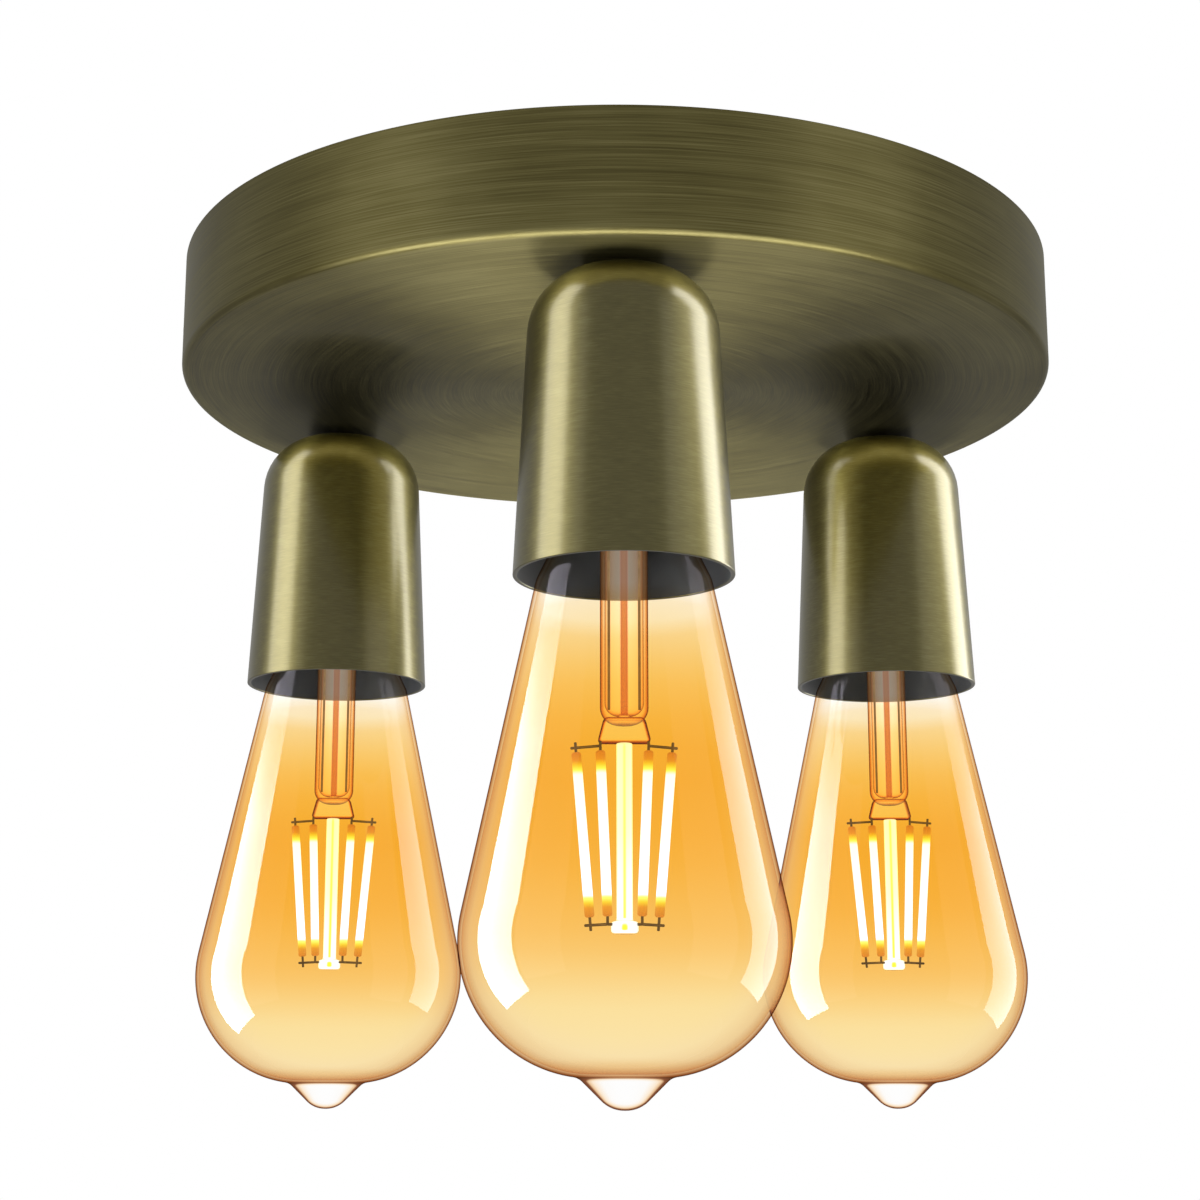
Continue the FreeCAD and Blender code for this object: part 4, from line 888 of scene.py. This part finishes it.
# %% Filaments
OUTER_TOP = 9.4 * MM
OUTER_FOOT = 6.7 * MM
INNER_TOP = 4.7 * MM
INNER_FOOT = 3.3 * MM
STAGGER = 1.3 * MM
SLEEVE_RADIUS = 0.95 * MM
SLEEVE_ROUND = 0.5 * MM


def leaning(top, foot, depth):
    """Top and foot of a filament, at distances from the axis."""
    return Vector((top, depth, filament_top)), Vector((foot, depth, filament_foot))


def filament_ends(side):
    """Top and foot of the outer and the inner filament on one side of the lamp's axis."""
    outer = leaning(OUTER_TOP * side, OUTER_FOOT * side, STAGGER)
    inner = leaning(INNER_TOP * side, INNER_FOOT * side, -STAGGER)
    return outer, inner


def bar_between(bm, start, stop, radius, end_rounding, steps=20):
    """Round-ended bar turned on its own axis and then laid between two points."""
    length = (stop - start).length
    corners = (0, 0), (radius, 0, end_rounding), (radius, length, end_rounding), (0, length)
    part = lathe(bmesh.new(), round_corners(corners, steps=4, closed=False), steps, closed=False)
    spin = (stop - start).to_track_quat("Z", "Y").to_matrix().to_4x4()
    bmesh.ops.transform(part, matrix=Matrix.Translation(start) @ spin, verts=part.verts)
    join_into(bm, part)


for lamp in LAMPS:
    bm = bmesh.new()
    for top, foot in filament_ends(-1) + filament_ends(1):
        bar_between(bm, foot, top, SLEEVE_RADIUS, SLEEVE_ROUND)
    shift(bm, axes[lamp])
    finish_piece(f"filament_set_{lamp}", bm, [filament_coating], f"bulb_{lamp}", f"filaments_{lamp}",
                 mirrored=False)

# %% [markdown]
# ## Stem and rod
# The stem is a glass tube that flares to the neck, with the exhaust tube up its middle. Its foot
# was closed by pressing the soft glass flat over two wires. A clear rod under it ends in a bead.

# %% Stem and rod
STEM_RADIUS = 4.75 * MM
STEM_WALL = 0.9 * MM
STEM_ROUND = 3.4 * MM
STEM_HOLLOW = 2.5 * MM
FLARE_HEIGHT = 8.5 * MM
FLARE_ROUND = 5.1 * MM
FLARE_GAP = 0.1 * MM
EXHAUST_RADIUS = 0.9 * MM
EXHAUST_DROP = 4.2 * MM
EXHAUST_FILLET = 0.3 * MM
PINCH_WIDTH = 10.6 * MM
PINCH_TOP = 8.0 * MM
PINCH_DEPTH = 4.2 * MM
PINCH_HEIGHT = 3.6 * MM
PINCH_EDGE = 1.0 * MM
ROD_RADIUS = 1.6 * MM
ROD_ROUND = 0.3 * MM
BEAD_RADIUS = 2.7 * MM
BEAD_HEIGHT = 2.4 * MM
BEAD_EDGE = 0.7 * MM
BEAD_FILLET = 0.5 * MM
tube_foot = STEM_FOOT + PINCH_HEIGHT
hollow_foot = tube_foot + STEM_WALL * 2
flare_low = NECK_TOP - FLARE_HEIGHT
flare_rim = NECK_RADIUS - GLASS_WALL - FLARE_GAP


def stem_tube():
    """Flared tube with a closed round foot and the exhaust tube up its middle."""
    outline = round_corners((
        (EXHAUST_RADIUS, NECK_TOP - EXHAUST_DROP),
        (EXHAUST_RADIUS, hollow_foot, EXHAUST_FILLET),
        (STEM_RADIUS - STEM_WALL, hollow_foot, STEM_HOLLOW),
        (STEM_RADIUS - STEM_WALL, flare_low, FLARE_ROUND),
        (flare_rim - STEM_WALL, NECK_TOP),
        (flare_rim, NECK_TOP),
        (flare_rim, NECK_TOP - STEM_WALL),
        (STEM_RADIUS, flare_low, FLARE_ROUND),
        (STEM_RADIUS, tube_foot, STEM_ROUND),
        (0, tube_foot),
    ), steps=8, closed=False)
    outline.insert(0, Vector((0, NECK_TOP - EXHAUST_DROP)))
    return lathe(bmesh.new(), outline, 48, closed=False)


def pinch():
    """Pressed foot: a block of glass, wider than the tube and thin, with every edge melted round."""
    bm = bmesh.new()
    bmesh.ops.create_cube(bm, size=1.0)
    height = PINCH_HEIGHT + STEM_WALL * 1.6
    bmesh.ops.scale(bm, vec=(PINCH_WIDTH, PINCH_DEPTH, height), verts=bm.verts)
    for vert in bm.verts:
        if vert.co.z > 0:
            vert.co.x *= PINCH_TOP / PINCH_WIDTH
    bmesh.ops.bevel(bm, geom=bm.edges[:], offset=PINCH_EDGE, offset_type="OFFSET", segments=6, profile=0.5,
                    affect="EDGES", material=-1)
    shift(bm, (0, 0, STEM_FOOT + height / 2))
    for face in bm.faces:
        face.material_index = 2
    return bm


def stem():
    """Tube and pressed foot; the exhaust tube inside has its own glass."""
    bm = stem_tube()
    for face in bm.faces:
        middle = face.calc_center_median()
        slim = math.hypot(middle.x, middle.y) < EXHAUST_RADIUS * 1.05
        face.material_index = 1 if slim and middle.z > tube_foot + STEM_WALL else 0
    join_into(bm, pinch())
    return bm


def support_rod():
    """Glass rod with a melted bead at its foot."""
    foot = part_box("bulb_rod_front")[0][2]
    bead_top = foot + BEAD_HEIGHT
    return lathe(bmesh.new(), round_corners((
        (0, STEM_FOOT),
        (ROD_RADIUS, STEM_FOOT, ROD_ROUND),
        (ROD_RADIUS, bead_top, BEAD_FILLET),
        (BEAD_RADIUS, bead_top, BEAD_EDGE),
        (BEAD_RADIUS, foot, BEAD_EDGE),
        (0, foot),
    ), steps=5, closed=False), 32, closed=False)


print("stem foot", round(STEM_FOOT, 4), "tube foot", round(tube_foot, 4))

# %% [markdown]
# ## Wires
# Over and under each pair of filaments lies a cross wire, with a small tab at each filament's
# end. The upper ones come out of the pressed foot and the lower ones out of the bead. Two more
# run up inside the stem.

# %% Wires
WIRE_RADIUS = 0.275 * MM
WIRE_ABOVE = 0.9 * MM
WIRE_BELOW = 1.5 * MM
OVERHANG = 1.2 * MM
TAB_PAST = 1.1 * MM
SUNK = 0.3 * MM
SUNK_IN_BEAD = 0.4 * MM
LEAD_IN = 3.0 * MM
LEAD_FOOT = 3.0 * MM
LEAD_GAP = 0.05 * MM


def wire_between(bm, start, stop):
    bar_between(bm, start, stop, WIRE_RADIUS, WIRE_RADIUS * 0.5, 12)


def frame_wires():
    """Cross wires and tabs over and under each pair of filaments, and the wires inside the stem."""
    bm = bmesh.new()
    up = Vector((0, 0, 1))
    for side in (-1, 1):
        outer, inner = filament_ends(side)
        away = (outer[0] - inner[0]).normalized() * OVERHANG
        over = inner[0] + up * WIRE_ABOVE
        wire_between(bm, over, outer[0] + up * WIRE_ABOVE + away)
        wire_between(bm, over, Vector((inner[0].x, inner[0].y, STEM_FOOT + SUNK)))
        away = (outer[1] - inner[1]).normalized() * OVERHANG
        under = inner[1] - up * WIRE_BELOW
        wire_between(bm, under, outer[1] - up * WIRE_BELOW + away)
        axis = Vector((0, 0, under.z))
        wire_between(bm, under, axis + (under - axis).normalized() * (BEAD_RADIUS - SUNK_IN_BEAD))
        for (top, foot), past in ((outer, TAB_PAST), (inner, 0)):
            along = (top - foot).normalized()
            wire_between(bm, top - along * SUNK, top + along * (WIRE_ABOVE + past))
            wire_between(bm, foot + along * SUNK, foot - along * (WIRE_BELOW + past))
        wire_between(bm, Vector((LEAD_IN * side, 0, tube_foot + LEAD_FOOT)),
                     Vector((LEAD_IN * side, 0, NECK_TOP - LEAD_GAP)))
    return bm


for lamp in LAMPS:
    for bm, name, materials, slot in (
        (stem(), "stem", [stem_glass, exhaust_glass, pressed_glass], "clear_glass"),
        (support_rod(), "rod", [rod_glass], "clear_glass"),
        (frame_wires(), "wires", [lead_wire], "lead_wire"),
    ):
        shift(bm, axes[lamp])
        finish_piece(f"{name}_{lamp}", bm, materials, f"bulb_{lamp}", f"bulb_{name}_{lamp}",
                     mirrored=False)

# %% [markdown]
# ## Pieces that keep their own shape
# The crossbar, the block, the nuts and the pieces inside the cups are right as they stand, so
# they only get their finish. Of the pieces inside the cups only the black holders are mirrored.

# %% Finishes for the frame's own pieces
FINISHES = {
    "mounting_bracket": zinc, "cable_grommet": rubber_black, "side_screws": turned_brass,
    "terminal_block": nylon, "terminal_clamps": turned_brass, "terminal_screws": zinc, "block_screw": zinc,
    "live_leads": live_brown, "neutral_leads": neutral_blue, "earth_lead": earth_green,
    "earth_screw": turned_brass, "lock_nuts": zinc, "lock_washers": zinc, "holder_terminals": turned_brass,
}
for lamp in LAMPS:
    FINISHES.update({
        f"nipple_{lamp}": zinc, f"lampholder_{lamp}": holder_black, f"screw_shell_{lamp}": nickel,
        f"centre_contact_{lamp}": turned_brass, f"bulb_cap_{lamp}": nickel, f"bulb_insulator_{lamp}": vitrite,
        f"bulb_contact_{lamp}": solder, f"bulb_driver_{lamp}": board_green,
    })
for node, material in FINISHES.items():
    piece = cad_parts[node]
    piece.data.materials.clear()
    piece.data.materials.append(material)
    piece.visible_glossy = material is holder_black or not node.endswith(LAMPS)
print(len(FINISHES), "frame pieces finished")
